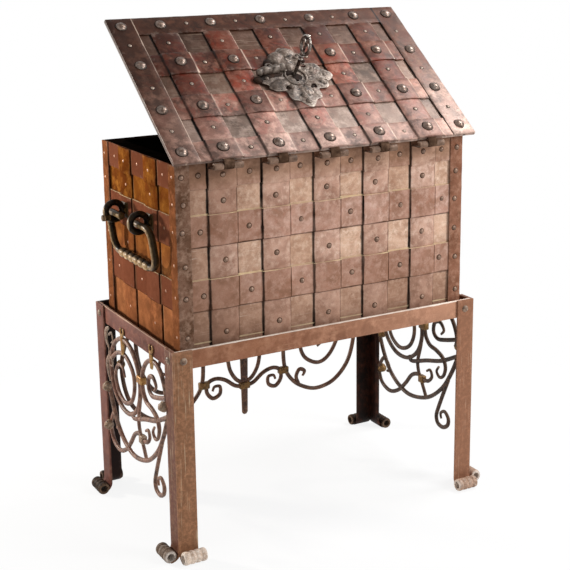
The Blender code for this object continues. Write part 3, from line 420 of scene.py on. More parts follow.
    @staticmethod
    def crown(obj: Object, across: Axis, place: float, out: Axis) -> Object:
        """Raise the middle line of a strap a little over its edges.

        Args:
            obj: The strap as an open sheet.
            across: Axis across the strap.
            place: Its middle on that axis.
            out: Axis that its outer face looks along.

        Returns:
            The strap.
        """
        for vertex in obj.data.vertices:
            share = (vertex.co[across.value] - place) / HALF_STRAP
            side = math.copysign(1.0, vertex.co[out.value])
            vertex.co[out.value] += side * CROWN * (1.0 - share * share)
        return obj

    @staticmethod
    def turned(name: str, profile: Sequence[Point2], sides: int) -> Object:
        """Form spun about Z.

        Args:
            name: Name of the piece.
            profile: Radius and height of each point.
            sides: Faces round it.

        Returns:
            The closed form.
        """
        obj = Bench.chain(name, [(radius, 0.0, height) for radius, height in profile])
        bpy.ops.mesh.select_all(action="SELECT")
        bpy.ops.mesh.spin(steps=sides, angle=2 * math.pi, center=(0, 0, 0), axis=(0, 0, 1))
        return Bench.soften(Bench.close(obj))

    @staticmethod
    def drum(name: str, radius: float, low: float, high: float, sides: int) -> Object:
        """Plain round drum between two heights."""
        return Bench.turned(name, [(0.0, low), (radius, low), (radius, high), (0.0, high)], sides)

    @staticmethod
    def bar(name: str, path: Sequence[Point3], radii: Sequence[float], closed: bool = False) -> Object:
        """Round bar along a path.

        Args:
            name: Name of the piece.
            path: Its middle line.
            radii: Radius at each point.
            closed: True for a ring.

        Returns:
            The bar as a closed mesh.
        """
        Bench.clear()
        bpy.ops.curve.primitive_nurbs_path_add()
        obj = Bench.added(name)
        curve = obj.data
        curve.splines.remove(curve.splines[0])
        spline = curve.splines.new("POLY")
        spline.points.add(len(path) - 1)
        for knot, point, radius in zip(spline.points, path, radii):
            knot.co = (*point, 1.0)
            knot.radius = radius / radii[0]
        spline.use_cyclic_u = closed
        curve.bevel_depth = radii[0]
        curve.bevel_resolution = 3
        curve.use_fill_caps = True
        curve.twist_mode = "MINIMUM"
        Bench.focus(obj)
        bpy.ops.object.convert(target="MESH")
        return Bench.soften(Bench.close(obj), 60.0)

    @staticmethod
    def block(name: str, low: Point3, high: Point3, edge: float) -> Object:
        """Forged block with rounded edges and a raised middle on its faces.

        Args:
            name: Name of the piece.
            low: Its lowest corner.
            high: Its highest corner.
            edge: Width of the rounding.

        Returns:
            The block.
        """
        Bench.clear()
        size = [b - a for a, b in zip(low, high)]
        middle = [(a + b) / 2 for a, b in zip(low, high)]
        bpy.ops.mesh.primitive_cube_add(size=1.0, location=middle, scale=size)
        obj = Bench.added(name)
        bpy.ops.object.transform_apply(location=True, rotation=True, scale=True)
        Bench.edit(obj, "FACE")
        bpy.ops.mesh.inset(thickness=min(size) * 0.22, depth=min(size) * 0.06, use_individual=True)
        bpy.ops.object.mode_set(mode="OBJECT")
        return Bench.soften(Bench.close(Bench.ease(obj, edge, 3, FORGED)))

    @staticmethod
    def node_copy(node: str, name: str, edge: float) -> Object:
        """Copy of a frame node with its edges rounded.

        Args:
            node: Name of the node.
            name: Name of the copy.
            edge: Width of the rounding.

        Returns:
            The copy.
        """
        obj = Bench.instance(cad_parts[node], name)
        obj.data.materials.clear()
        Bench.edit(obj)
        bpy.ops.mesh.remove_doubles(threshold=MERGE)
        bpy.ops.mesh.dissolve_limited(angle_limit=FLAT)
        bpy.ops.object.mode_set(mode="OBJECT")
        return Bench.soften(Bench.ease(obj, edge))

    @staticmethod
    def instance(form: Object, name: str, matrix: Matrix | None = None) -> Object:
        """Copy of a form with a mesh of its own.

        Args:
            form: The form.
            name: Name of the copy.
            matrix: Its placement, or None to leave it where the form is.

        Returns:
            The copy.
        """
        mesh = form.data.copy()
        if matrix:
            mesh.transform(matrix)
        obj = bpy.data.objects.new(name, mesh)
        bpy.context.scene.collection.objects.link(obj)
        return obj

    @staticmethod
    def copies(form: Object, places: Sequence[Matrix], name: str) -> Object:
        """One piece made of a form repeated at some places; the form itself is removed.

        Args:
            form: The form about the origin.
            places: Its placements.
            name: Name of the piece.

        Returns:
            The joined piece.
        """
        made = [Bench.instance(form, name, matrix) for matrix in places]
        bpy.data.objects.remove(form)
        return Bench.join(made, name)

    @staticmethod
    def join(objects: Sequence[Object], name: str) -> Object:
        """Several forms as one piece.

        Args:
            objects: The forms.
            name: Name of the piece.

        Returns:
            The piece.
        """
        Bench.focus(*objects)
        if len(objects) > 1:
            bpy.ops.object.join()
        return Bench.added(name)

    @staticmethod
    def cut(obj: Object, cutters: Sequence[Object], operation: str = "DIFFERENCE") -> Object:
        """Cut some forms out of another, or add them to it; the forms are removed.

        Args:
            obj: The form that is kept.
            cutters: The forms that are cut out or added.
            operation: DIFFERENCE or UNION.

        Returns:
            The kept form.
        """
        for cutter in cutters:
            Bench.modify(obj, "BOOLEAN", operation=operation, solver="EXACT", object=cutter)
            bpy.data.objects.remove(cutter)
        return obj


# Shader groups


def tone(code: str) -> Colour:
    """Linear colour of a six-digit screen colour."""
    parts = [int(code[i : i + 2], 16) / 255 for i in (0, 2, 4)]
    return (*[p / 12.92 if p <= 0.04045 else ((p + 0.055) / 1.055) ** 2.4 for p in parts], 1.0)


class Wiring:
    """Adds nodes to a tree and links them."""

    def __init__(self, tree: NodeTree) -> None:
        """Start from an empty tree."""
        self.tree = tree
        tree.nodes.clear()

    def add(self, kind: str, inputs: dict[Any, Any] | None = None, **settings: Any) -> Node:
        """Node with its settings, and its inputs linked or set.

        Args:
            kind: Node type.
            inputs: Sockets or values by input name or index.
            **settings: Node properties.

        Returns:
            The node.
        """
        node = self.tree.nodes.new(kind)
        for key, value in settings.items():
            setattr(node, key, value)
        for key, value in (inputs or {}).items():
            if isinstance(value, NodeSocket):
                self.tree.links.new(value, node.inputs[key])
            else:
                node.inputs[key].default_value = value
        return node

    def group(self, tree: NodeTree, inputs: dict[str, Any]) -> Any:
        """Outputs of a group with its inputs linked or set."""
        return self.add("ShaderNodeGroup", inputs, node_tree=tree).outputs

    def math(self, operation: str, first: Any, second: Any = 0.0, third: Any = 0.0) -> NodeSocket:
        """Result of one sum."""
        return self.add("ShaderNodeMath", {0: first, 1: second, 2: third}, operation=operation).outputs[0]

    def times(self, *values: Any) -> NodeSocket:
        """Product of two or more values."""
        return reduce(lambda product, value: self.math("MULTIPLY", product, value), values)

    def vector(self, operation: str, first: Any, second: Any = (0, 0, 0), third: Any = (0, 0, 0)) -> NodeSocket:
        """Result of one sum of vectors."""
        inputs = {0: first, 1: second, 2: third}
        return self.add("ShaderNodeVectorMath", inputs, operation=operation).outputs[0]

    def ramp(self, value: Any, low: float, high: float, to_low: float = 0.0, to_high: float = 1.0) -> NodeSocket:
        """Value spread from one range to another, and held at its ends."""
        inputs = {0: value, 1: low, 2: high, 3: to_low, 4: to_high}
        return self.add("ShaderNodeMapRange", inputs, clamp=True).outputs[0]

    def blend(self, share: Any, first: Any, second: Any, mode: str = "MIX") -> NodeSocket:
        """Two colours mixed by a share of the second."""
        inputs = {0: share, 6: first, 7: second}
        return self.add("ShaderNodeMix", inputs, data_type="RGBA", blend_type=mode).outputs[2]

    def shaded(self, colour: Any, level: Any) -> NodeSocket:
        """Colour made lighter or darker by a level."""
        grey = self.add("ShaderNodeCombineColor", {i: level for i in range(3)}).outputs[0]
        return self.blend(1.0, colour, grey, "MULTIPLY")

    def noise(self, place: Any, scale: Any, detail: float, rough: float = 0.6, twist: float = 0.0) -> NodeSocket:
        """Soft noise at a place."""
        inputs = {"Vector": place, "Scale": scale, "Detail": detail, "Roughness": rough, "Distortion": twist}
        return self.add("ShaderNodeTexNoise", inputs).outputs[0]


class Effect:
    """Shader node group with named sockets, while it is wired."""

    def __init__(self, name: str, inputs: dict[str, str], outputs: dict[str, str]) -> None:
        """Make the empty group.

        Args:
            name: Name of the group.
            inputs: Names of the input sockets by their type, with spaces between them.
            outputs: Names of the output sockets by their type, with spaces between them.
        """
        self.tree = bpy.data.node_groups.new(name, "ShaderNodeTree")
        for way, sockets in (("INPUT", inputs), ("OUTPUT", outputs)):
            for kind, labels in sockets.items():
                for label in labels.split():
                    self.tree.interface.new_socket(label, in_out=way, socket_type=f"NodeSocket{kind}")
        self.wire = Wiring(self.tree)
        self.given = self.wire.add("NodeGroupInput").outputs

    def done(self, **results: NodeSocket) -> NodeTree:
        """Link the group's outputs and hand it out."""
        self.wire.add("NodeGroupOutput", results)
        return self.tree


@cache
def patina_group() -> NodeTree:
    """Group for old iron: drifting tones, stains and pits, with their gloss and height.

    Returns:
        The group.
    """
    inputs = {"Vector": "Place", "Float": "Patches Grain Stains", "Color": "Dark Mid Light Stain"}
    effect = Effect("iron_patina", inputs, {"Color": "Colour", "Float": "Matt Height"})
    wire, given = effect.wire, effect.given
    place, patches, grain = given["Place"], given["Patches"], given["Grain"]
    drift = wire.noise(place, patches, detail=5.0, rough=0.62, twist=0.5)
    cloud = wire.noise(place, wire.times(patches, 3.6), detail=6.0, rough=0.66)
    blot = wire.noise(place, wire.times(patches, 2.1), detail=8.0, rough=0.70, twist=1.1)
    speck = wire.noise(place, grain, detail=4.0, rough=0.65)
    dust = wire.noise(place, wire.times(grain, 4.0), detail=2.0, rough=0.5)
    colour = wire.blend(wire.ramp(drift, 0.36, 0.60), given["Dark"], given["Mid"])
    colour = wire.blend(wire.ramp(cloud, 0.46, 0.70), colour, given["Light"])
    colour = wire.blend(wire.times(wire.ramp(blot, 0.50, 0.66), given["Stains"]), colour, given["Stain"])
    pits = wire.ramp(speck, 0.58, 0.70)
    colour = wire.blend(wire.times(pits, 0.55), colour, given["Dark"])
    colour = wire.shaded(colour, wire.ramp(dust, 0.3, 0.7, 0.86, 1.12))
    matt = wire.math("ADD", wire.times(cloud, 0.6), wire.times(speck, 0.4))
    skin = wire.math("MULTIPLY_ADD", cloud, 0.7, wire.times(speck, 0.35))
    return effect.done(Colour=colour, Matt=matt, Height=wire.math("MULTIPLY_ADD", pits, -0.25, skin))


@cache
def wear_group() -> NodeTree:
    """Group for edges rubbed bright and hollows left dark.

    Returns:
        The group.
    """
    effect = Effect("edge_wear", {"Float": "Edge Amount", "Vector": "Place"}, {"Float": "Rubbed Hollow"})
    wire, given = effect.wire, effect.given
    broken = wire.ramp(wire.noise(given["Place"], 70.0, detail=4.0), 0.3, 0.7, -0.03, 0.03)
    edge = wire.math("ADD", given["Edge"], broken)
    rubbed = wire.times(wire.ramp(edge, 0.53, 0.62), given["Amount"])
    hollow = wire.times(wire.ramp(edge, 0.46, 0.38), given["Amount"])
    return effect.done(Rubbed=rubbed, Hollow=hollow)


@cache
def scratch_group() -> NodeTree:
    """Group for long thin scratches down a leg or along a rail.

    Returns:
        The group.
    """
    effect = Effect("scratches", {"Vector": "Place Stretch", "Float": "Amount"}, {"Float": "Mask"})
    wire, given = effect.wire, effect.given
    stretched = wire.vector("MULTIPLY", given["Place"], given["Stretch"])
    lines = wire.ramp(wire.noise(stretched, 1.0, detail=3.0, rough=0.55, twist=0.3), 0.60, 0.68)
    patches = wire.ramp(wire.noise(given["Place"], 16.0, detail=3.0), 0.42, 0.62)
    return effect.done(Mask=wire.times(lines, patches, given["Amount"]))


@cache
def seam_group() -> NodeTree:
    """Group for a line that runs along each of some evenly spaced edges.

    Returns:
        The group.
    """
    inputs = {"Float": "Along First Pitch Reach Amount Broken", "Vector": "Place"}
    effect = Effect("edge_lines", inputs, {"Float": "Mask"})
    wire, given = effect.wire, effect.given
    half_pitch = wire.times(given["Pitch"], 0.5)
    from_first = wire.math("SUBTRACT", given["Along"], given["First"])
    wrapped = wire.math("WRAP", from_first, half_pitch, wire.times(half_pitch, -1.0))
    near = wire.math("DIVIDE", wire.math("ABSOLUTE", wrapped), given["Reach"])
    wander = wire.ramp(wire.noise(given["Place"], 26.0, detail=4.0), 0.3, 0.7, 0.6, 1.6)
    mask = wire.ramp(wire.times(near, wander), 0.4, 1.0, 1.0, 0.0)
    faint = wire.ramp(wire.noise(given["Place"], 11.0, detail=3.0), 0.60, 0.42)
    shown = wire.math("SUBTRACT", 1.0, wire.times(faint, given["Broken"]))
    return effect.done(Mask=wire.times(mask, shown, given["Amount"]))


@cache
def cell_group() -> NodeTree:
    """Group for woven squares: one level from 0 to 1 for each square.

    Returns:
        The group.
    """
    effect = Effect("cell_levels", {"Vector": "Place First Pitch Rest"}, {"Float": "Level"})
    wire, given = effect.wire, effect.given
    steps = wire.vector("DIVIDE", wire.vector("SUBTRACT", given["Place"], given["First"]), given["Pitch"])
    later = wire.vector("FLOOR", wire.vector("ADD", wire.vector("FRACTION", steps), given["Rest"]))
    square = wire.vector("MULTIPLY_ADD", later, (0.5, 0.5, 0.5), wire.vector("FLOOR", steps))
    level = wire.add("ShaderNodeTexWhiteNoise", {"Vector": square}, noise_dimensions="3D")
    return effect.done(Level=level.outputs["Value"])


# Finishes

FAR = 9.0
LUMA = (0.2126, 0.7152, 0.0722)
DARKEST = 0.004
KEPT_CONTRAST = 0.6
PIT_DEPTH = 0.0012
SCRATCH_LENGTH = 9.0
SCRATCH_WIDTH = 330.0
HOLLOW_DIRT = "140b07"


@dataclass(frozen=True)
class Cells:
    """Woven squares that each keep a tone of their own.

    Attributes:
        first: Where the first square starts along X, Y and Z.
        pitch: Length of a strap and the gap after it along each axis.
        strap: Share of the pitch that the strap takes.
        lowest: Height below which all squares count as one row.
        dark: Factors of the darkest square's colour.
        pale: Factors of the palest square's colour.
    """

    first: Point3
    pitch: Point3
    strap: Point3
    lowest: float
    dark: Point3
    pale: Point3


@dataclass(frozen=True)
class Tint:
    """Another tone beyond an edge along one axis.

    Attributes:
        code: The tone.
        axis: The axis.
        start: Where the tone sets in.
        end: Where it has its full share.
        share: The full share.
        both_sides: True if both ends of the axis count alike.
        on_top: True if it covers scratches and lines too.
        lean: Rise of the edge for each metre of height.
    """

    code: str
    axis: Axis
    start: float
    end: float
    share: float = 0.8
    both_sides: bool = False
    on_top: bool = False
    lean: float = 0.0


@dataclass(frozen=True)
class Line:
    """Dark or pale line along evenly spaced edges, mostly a painted shadow or a painted highlight."""

    axis: Axis
    first: float
    pitch: float
    reach: float
    code: str
    amount: float = 1.0
    broken: float = 0.35


@dataclass(frozen=True)
class Scratches:
    """Pale scratches that run along one axis."""

    axis: Axis
    code: str
    amount: float


@dataclass(frozen=True)
class IronFinish:
    """Patinated iron with drifting tones, stains, worn edges and an uneven skin; its tints and lines can also paint
    shade, shadows, highlights and sheen.
    """

    name: str
    dark: str
    mid: str
    light: str
    stain: str
    worn: str
    stains: float = 0.5
    patches: float = 11.0
    grain: float = 260.0
    metallic: float = 0.35
    smoothest: float = 0.36
    mattest: float = 0.60
    wear: float = 0.6
    bump: float = 0.5
    gloss: float = 0.4
    tints: tuple[Tint, ...] = ()
    lines: tuple[Line, ...] = ()
    scratches: Scratches | None = None
    cells: Cells | None = None

    def variant(self, name: str, tones: str = "", **changes: Any) -> "IronFinish":
        """Finish like this one under another name, with its first tones, from dark to worn, and others changed."""
        named = dict(zip(("dark", "mid", "light", "stain", "worn"), tones.split()))
        return replace(self, name=name, **named, **changes)

    @cache
    def material(self) -> Material:
        """Build the material once and hand it out again after that.

        Returns:
            The node material.
        """
        material = bpy.data.materials.new(self.name)
        material.use_nodes = True
        wire = Wiring(material.node_tree)
        place = wire.add("ShaderNodeTexCoord").outputs["Object"]
        along = wire.add("ShaderNodeSeparateXYZ", {0: place}).outputs
        patina = wire.group(patina_group(), {
            "Place": place, "Patches": self.patches, "Grain": self.grain, "Stains": self.stains,
            "Dark": tone(self.dark), "Mid": tone(self.mid), "Light": tone(self.light), "Stain": tone(self.stain),
        })
        colour = self.tinted(wire, patina["Colour"], along, False)
        if self.cells:
            colour = self.squared(wire, colour, place)
        colour = self.lined(wire, self.rubbed(wire, colour, place), place, along)
        colour = self.tinted(wire, colour, along, True)
        rough = wire.ramp(patina["Matt"], 0.35, 0.65, self.smoothest, self.mattest)
        skin = {"Strength": self.bump, "Distance": PIT_DEPTH, "Height": patina["Height"]}
        shader = wire.add("ShaderNodeBsdfPrincipled", {
            "Base Color": colour, "Roughness": rough, "Metallic": self.metallic,
            "Specular IOR Level": self.gloss, "Normal": wire.add("ShaderNodeBump", skin).outputs[0],
        })
        wire.add("ShaderNodeOutputMaterial", {0: shader.outputs[0]})
        return material

    def tinted(self, wire: Wiring, colour: Any, along: Any, on_top: bool) -> NodeSocket:
        """Colour drawn towards the tints beyond their edges; its lights and darks stay.

        Args:
            wire: Wiring of the material.
            colour: Colour so far.
            along: Place along each axis.
            on_top: Which tints are meant.

        Returns:
            The colour with those tints.
        """
        usual = sum(weight * part for weight, part in zip(LUMA, tone(self.mid)))
        for tint in self.tints:
            if tint.on_top != on_top:
                continue
            measure = along[tint.axis.value]
            if tint.both_sides:
                measure = wire.math("ABSOLUTE", measure)
            if tint.lean:
                measure = wire.math("MULTIPLY_ADD", along[Axis.Z.value], tint.lean, measure)
            share = wire.times(wire.ramp(measure, tint.start, tint.end), tint.share)
            grey = wire.add("ShaderNodeRGBToBW", {0: colour}).outputs[0]
            level = wire.math("MULTIPLY_ADD", grey, KEPT_CONTRAST / max(DARKEST, usual), 1.0 - KEPT_CONTRAST)
            colour = wire.blend(share, colour, wire.shaded(tone(tint.code), level))
        return colour

    def squared(self, wire: Wiring, colour: Any, place: Any) -> NodeSocket:
        """Colour with a tone of its own in each woven square.

        Args:
            wire: Wiring of the material.
            colour: Colour so far.
            place: Place on the object.

        Returns:
            The colour with its squares.
        """
        cells = self.cells
        level = wire.group(cell_group(), {
            "Place": wire.vector("MAXIMUM", place, (-FAR, -FAR, cells.lowest)), "First": cells.first,
            "Pitch": cells.pitch, "Rest": tuple(1.0 - share for share in cells.strap),
        })["Level"]
        factor = wire.blend(level, (*cells.dark, 1.0), (*cells.pale, 1.0))
        return wire.blend(1.0, colour, factor, "MULTIPLY")

    def rubbed(self, wire: Wiring, colour: Any, place: Any) -> NodeSocket:
        """Colour with its scratches, dark hollows and bright edges.

        Args:
            wire: Wiring of the material.
            colour: Colour so far.
            place: Place on the object.

        Returns:
            The colour with its wear.
        """
        if self.scratches:
            stretch = [SCRATCH_WIDTH] * 3
            stretch[self.scratches.axis.value] = SCRATCH_LENGTH
            marks = {"Place": place, "Stretch": stretch, "Amount": self.scratches.amount}
            colour = wire.blend(wire.group(scratch_group(), marks)["Mask"], colour, tone(self.scratches.code))
        edge = wire.add("ShaderNodeNewGeometry").outputs["Pointiness"]
        rubs = wire.group(wear_group(), {"Edge": edge, "Place": place, "Amount": self.wear})
        colour = wire.blend(rubs["Hollow"], colour, tone(HOLLOW_DIRT))
        return wire.blend(rubs["Rubbed"], colour, tone(self.worn))

    def lined(self, wire: Wiring, colour: Any, place: Any, along: Any) -> NodeSocket:
        """Colour with dark and pale lines along the straps' edges: painted shadows and highlights.

        Args:
            wire: Wiring of the material.
            colour: Colour so far.
            place: Place on the object.
            along: Place along each axis.

        Returns:
            The colour with its lines.
        """
        for line in self.lines:
            mask = wire.group(seam_group(), {
                "Along": along[line.axis.value], "Place": place, "First": line.first, "Pitch": line.pitch,
                "Reach": line.reach, "Amount": line.amount, "Broken": line.broken,
            })["Mask"]
            colour = wire.blend(mask, colour, tone(line.code))
        return colour


# Lines along the straps' edges: painted shadows beside their shaded edges and painted highlights on their lit edges
# Painted shadow along a strap's shaded edge, with the dark gap there
EDGE_SHADOW = "0c0705"
# Painted highlight on a strap's lit edge, with a little rubbing
EDGE_HIGHLIGHT = "cdb5a2"
# Near wall: painted shadow along each strap's left edge and a dark line along its right edge
WALL_LINES = (
    Line(Axis.X, -0.3182, 0.14, 0.0041, EDGE_SHADOW, broken=0.2), Line(Axis.X, -0.2425, 0.14, 0.0030, "4c3021", 0.85),
)
# Hoops: painted shadow along each lower edge and painted highlight along each upper edge
HOOP_LINES = (
    Line(Axis.Z, 0.6002, 0.153, 0.0032, "3c2519", 0.95), Line(Axis.Z, 0.6762, 0.153, 0.0022, "ead2a8", 0.9, 0.55),
)
# End walls: painted shadow along two strap edges, with a thin painted highlight just beside it
END_LINES = (
    Line(Axis.Y, -0.1168, FAR, 0.0030, EDGE_SHADOW, broken=0.2), Line(Axis.Y, 0.0402, FAR, 0.0030, EDGE_SHADOW, broken=0.2),
    Line(Axis.Y, -0.1203, 0.157, 0.0016, "c99a72", 0.5, 0.8),
)
# Lid: painted shadow along each strap's left edge and painted highlight along its right edge
LID_LINES = (
    Line(Axis.X, -0.3186, 0.14, 0.0042, EDGE_SHADOW, broken=0.45), Line(Axis.X, -0.2432, 0.14, 0.0026, EDGE_HIGHLIGHT, 0.8, 0.7),
)
# Lid frame: painted shadow along the right side's inner edge and painted highlight along the left side's
FRAME_LINES = (
    Line(Axis.X, 0.3470, FAR, 0.0040, EDGE_SHADOW), Line(Axis.X, -0.3480, FAR, 0.0020, EDGE_HIGHLIGHT, 0.6, 0.8),
)

# Woven squares of the walls and the lid
WALL_CELLS = Cells(
    (-0.0365, -0.115, 0.6006), (0.14, 0.157, 0.153), (0.5214, 0.465, 0.4902), 0.53,
    dark=(0.88, 0.82, 0.78), pale=(1.08, 1.08, 1.08),
)
TOP_CELLS = replace(WALL_CELLS, pitch=(0.14, 0.157, FAR), strap=(0.5214, 0.465, 1.0))
END_CELLS = replace(WALL_CELLS, dark=(0.76, 0.68, 0.62), pale=(1.22, 1.18, 1.08))
LID_CELLS = Cells(
    (-0.0365, 0.0, 1.0422), (0.14, FAR, 0.0445), (0.5214, 1.0, 1.0), 0.0,
    dark=(0.55, 0.45, 0.42), pale=(1.30, 1.20, 1.15),
)
BAND_CELLS = replace(LID_CELLS, first=(-0.0365, 0.0, 1.0447))
PLATE_CELLS = replace(LID_CELLS, first=(-0.0365, 0.0, 1.0396), dark=(0.72, 0.68, 0.64), pale=(1.2, 1.2, 1.2))

# Tones over the chest by place: the end walls' own tones, painted shade on the walls and lid, painted sheen on the lid,
# and painted shade inside the box
ENDS = Tint("87503a", Axis.X, 0.3915, 0.3965, 0.95, both_sides=True)
CORNER_ENDS = Tint("7c4b2e", Axis.X, 0.3984, 0.3996, 0.95, both_sides=True)
LOW_ENDS = Tint("9a6546", Axis.Z, 0.80, 0.60, 0.85)
# Painted shade: darker under the lid, towards the near wall's foot and towards its left end
UNDER_LID_SHADE = Tint("9a7861", Axis.Z, 0.878, 0.912, 0.8)
LOW_WALL_SHADE = Tint("926c57", Axis.Z, 0.72, 0.54, 0.7)
LEFT_WALL_SHADE = Tint("7f5c48", Axis.X, -0.12, -0.36, 0.65)
# Painted shade towards the lid's upper left and painted sheen towards its lower right
UPPER_LID_SHADE = Tint("3b1f12", Axis.Z, 1.07, 1.23, 0.85)
LEFT_LID_SHADE = Tint("331b10", Axis.X, -0.12, -0.42, 0.8)
LOW_LID_SHEEN = Tint("b8a69d", Axis.Z, 1.12, 0.98, 0.55)
RIGHT_LID_SHEEN = Tint("98796b", Axis.X, 0.05, 0.42, 0.25)
# Painted shade, near black, on the walls' inner faces
INSIDE_SHADE_LONG = Tint("120c09", Axis.Y, 0.2174, 0.2166, 1.0, both_sides=True, on_top=True)
INSIDE_SHADE_ENDS = Tint("120c09", Axis.X, 0.3929, 0.3921, 1.0, both_sides=True, on_top=True)

# Chest
WALL_STRAP = IronFinish(
    "wall_strap_iron", "9c7867", "cba694", "dabdac", "b88c76", "d9c4b2", stains=0.4, patches=19.0, metallic=0.0,
    wear=0.3, gloss=0.12, tints=(UNDER_LID_SHADE, LOW_WALL_SHADE, LEFT_WALL_SHADE), lines=WALL_LINES, cells=WALL_CELLS,
)
WALL_HOOP = WALL_STRAP.variant(
    "wall_hoop_iron", "9a7664 bd9787 ccac9e aa7661", gloss=0.0, tints=(LOW_WALL_SHADE, LEFT_WALL_SHADE, ENDS),
    lines=(*WALL_LINES, *HOOP_LINES, *END_LINES),
)
TOP_HOOP = WALL_HOOP.variant(
    "top_hoop_iron", tints=(UNDER_LID_SHADE, LEFT_WALL_SHADE, ENDS), lines=(*WALL_LINES, *END_LINES), cells=TOP_CELLS,
)
WALL_PLATE = WALL_STRAP.variant(
    "wall_plate_iron", "ab866f d3b098 e2c7b2 c2947c", wear=0.0, tints=(UNDER_LID_SHADE, LOW_WALL_SHADE, LEFT_WALL_SHADE, INSIDE_SHADE_LONG),
    lines=(*WALL_LINES, *HOOP_LINES), scratches=Scratches(Axis.X, "e6d3c3", 0.4),
)
END_PLATE = IronFinish(
    "end_plate_iron", "5f3416", "84501f", "a26c30", "7c4522", "c79a72", patches=9.0, metallic=0.0, smoothest=0.34,
    mattest=0.5, wear=0.0, gloss=0.0, tints=(LOW_ENDS, INSIDE_SHADE_ENDS), lines=END_LINES, cells=END_CELLS,
)
END_STRAP = END_PLATE.variant("end_strap_iron", mid="80481f", wear=0.3, tints=(LOW_ENDS,))
CORNER_IRON = WALL_STRAP.variant(
    "corner_iron", "503829 7b5d4d 9a7d6b 614231", gloss=0.0, tints=(CORNER_ENDS,), lines=(), cells=None,
)
RED_CORNER = CORNER_IRON.variant("red_corner_iron", "6b4634 8f6450 a87f6a 824f3a")
# Near-black painted shade inside the box, on its rim and on the lock works under the lid
INNER_SHADE_IRON = IronFinish(
    "inner_shade_iron", "060403", "0d0907", "1a120e", "120b08", "4b3a2f", metallic=0.0, smoothest=0.8, mattest=0.95,
    wear=0.0, gloss=0.0,
)
# Hinge eyes and ears darker than the straps: painted shade under the lid's back edge
HINGE_SHADE_IRON = INNER_SHADE_IRON.variant("hinge_shade_iron", "33241a 5a4436 7a604f")
EAR_SHADE_IRON = WALL_STRAP.variant("hinge_ear_shade_iron", "4a372b 7a5f4f 967b69 5c4434 a58b78", tints=(), lines=(), cells=None)
RIVET_IRON = IronFinish(
    "wall_rivet_iron", "4a3325", "775846", "a68672", "5c4030", "c9b09b", patches=60.0, metallic=0.3, smoothest=0.3,
    mattest=0.5, wear=0.4,
)
LID_RIVET = RIVET_IRON.variant("lid_rivet_iron", "4a352a 86705f b5a08f", worn="d9c9b8")
END_RIVET = RIVET_IRON.variant("end_rivet_iron", "8a5434 b98462 dcb394 8a5434")
# Near-black painted shade for the rings round the lid's heads and for the escutcheon's hollows
DARK_SHADE = IronFinish(
    "painted_dark_shade", "0f0906", "1f130d", "38251b", "1a0f0a", "38251b", metallic=0.0, smoothest=0.6, mattest=0.8,
    wear=0.0, gloss=0.1,
)
# Softer painted shade for the rings round the wall's rivets
RIVET_SHADE = DARK_SHADE.variant("rivet_shade", "35231a 4d3527 6a4d3c 3d2a1e")

# Lid and lock
LID_STRAP = IronFinish(
    "lid_strap_iron", "38160b", "82432f", "a87565", "973319", "cbb8aa", stains=1.0, metallic=0.05, smoothest=0.30,
    mattest=0.50, wear=0.4, gloss=0.10, tints=(LOW_LID_SHEEN, RIGHT_LID_SHEEN, UPPER_LID_SHADE, LEFT_LID_SHADE), lines=LID_LINES,
    cells=LID_CELLS,
)
LID_BAND = LID_STRAP.variant("lid_band_iron", "3a1e14 764533 a07666 8a3520", cells=BAND_CELLS)
LID_PLATE = LID_STRAP.variant(
    "lid_plate_iron", "4e3828 866a59 ab9587 7a4a36", stains=0.5, wear=0.0,
    scratches=Scratches(Axis.X, "a5927f", 0.5), cells=PLATE_CELLS,
)
LID_FRAME = LID_STRAP.variant("lid_frame_iron", "2c180f 5a3726 866454 6c2c1c", lines=FRAME_LINES, cells=None)
STUD_STEEL = IronFinish(
    "stud_steel", "2a1c15", "5e463a", "8f7a6c", "4c3022", "e4d9cf", patches=50.0, metallic=0.7, smoothest=0.24,
    mattest=0.40, wear=0.3,
)
# The tint darkens and browns the plate's left part, partly as painted shade
LOCK_STEEL = IronFinish(
    "worn_lock_steel", "1a120e", "6e5f54", "a39487", "4a2c20", "c0b2a5", stains=0.8, patches=46.0, metallic=0.3,
    smoothest=0.28, mattest=0.48, wear=0.45, bump=0.9, gloss=0.25,
    tints=(Tint("33261e", Axis.X, 0.005, -0.075, 0.75),),
)
BOLT_STEEL = LOCK_STEEL.variant("bolt_steel", wear=0.0, tints=())
# The key's pale worn edges, set strong, also stand for painted highlights
KEY_STEEL = LOCK_STEEL.variant(
    "key_steel", "15100d 3c332d 9a8e83", worn="e2d9cf", metallic=0.8, smoothest=0.16, mattest=0.3, wear=0.9,
    tints=(),
)

# Stand
STAND_RED = IronFinish(
    "stand_red_iron", "57332a", "784b3f", "875a4c", "633a2f", "bd967f", stains=0.35, metallic=0.0, smoothest=0.46,
    mattest=0.62, bump=0.3, gloss=0.1,
)
# Its line is a painted highlight along the rail's top edge
LEFT_RAIL = STAND_RED.variant(
    "left_rail_iron", wear=0.0, lines=(Line(Axis.Z, 0.5196, FAR, 0.0024, "cfb49a", 0.8, 0.6),),
)
NEAR_LEG = STAND_RED.variant(
    "near_leg_iron", "5f3c2c 60392f 7c5645 9c7f62", patches=26.0, bump=0.6,
    scratches=Scratches(Axis.Z, "e6d6b6", 0.5), tints=(Tint("805b42", Axis.Y, -0.2405, -0.2425, 0.9),),
)
NEAR_RIGHT_LEG = NEAR_LEG.variant(
    "near_right_leg_iron", "6b4438 69423a 82564a 70463a", scratches=Scratches(Axis.Z, "d8b9a0", 0.4),
    tints=(Tint("8c624a", Axis.Y, -0.2405, -0.2425, 0.9),),
)
# Its tint is painted shade on the leg's inner faces
FAR_LEFT_LEG = STAND_RED.variant(
    "far_left_leg_iron", mid="69423a", light="7a5044", tints=(Tint("1c0d09", Axis.X, -0.4265, -0.4235, 1.0),),
)
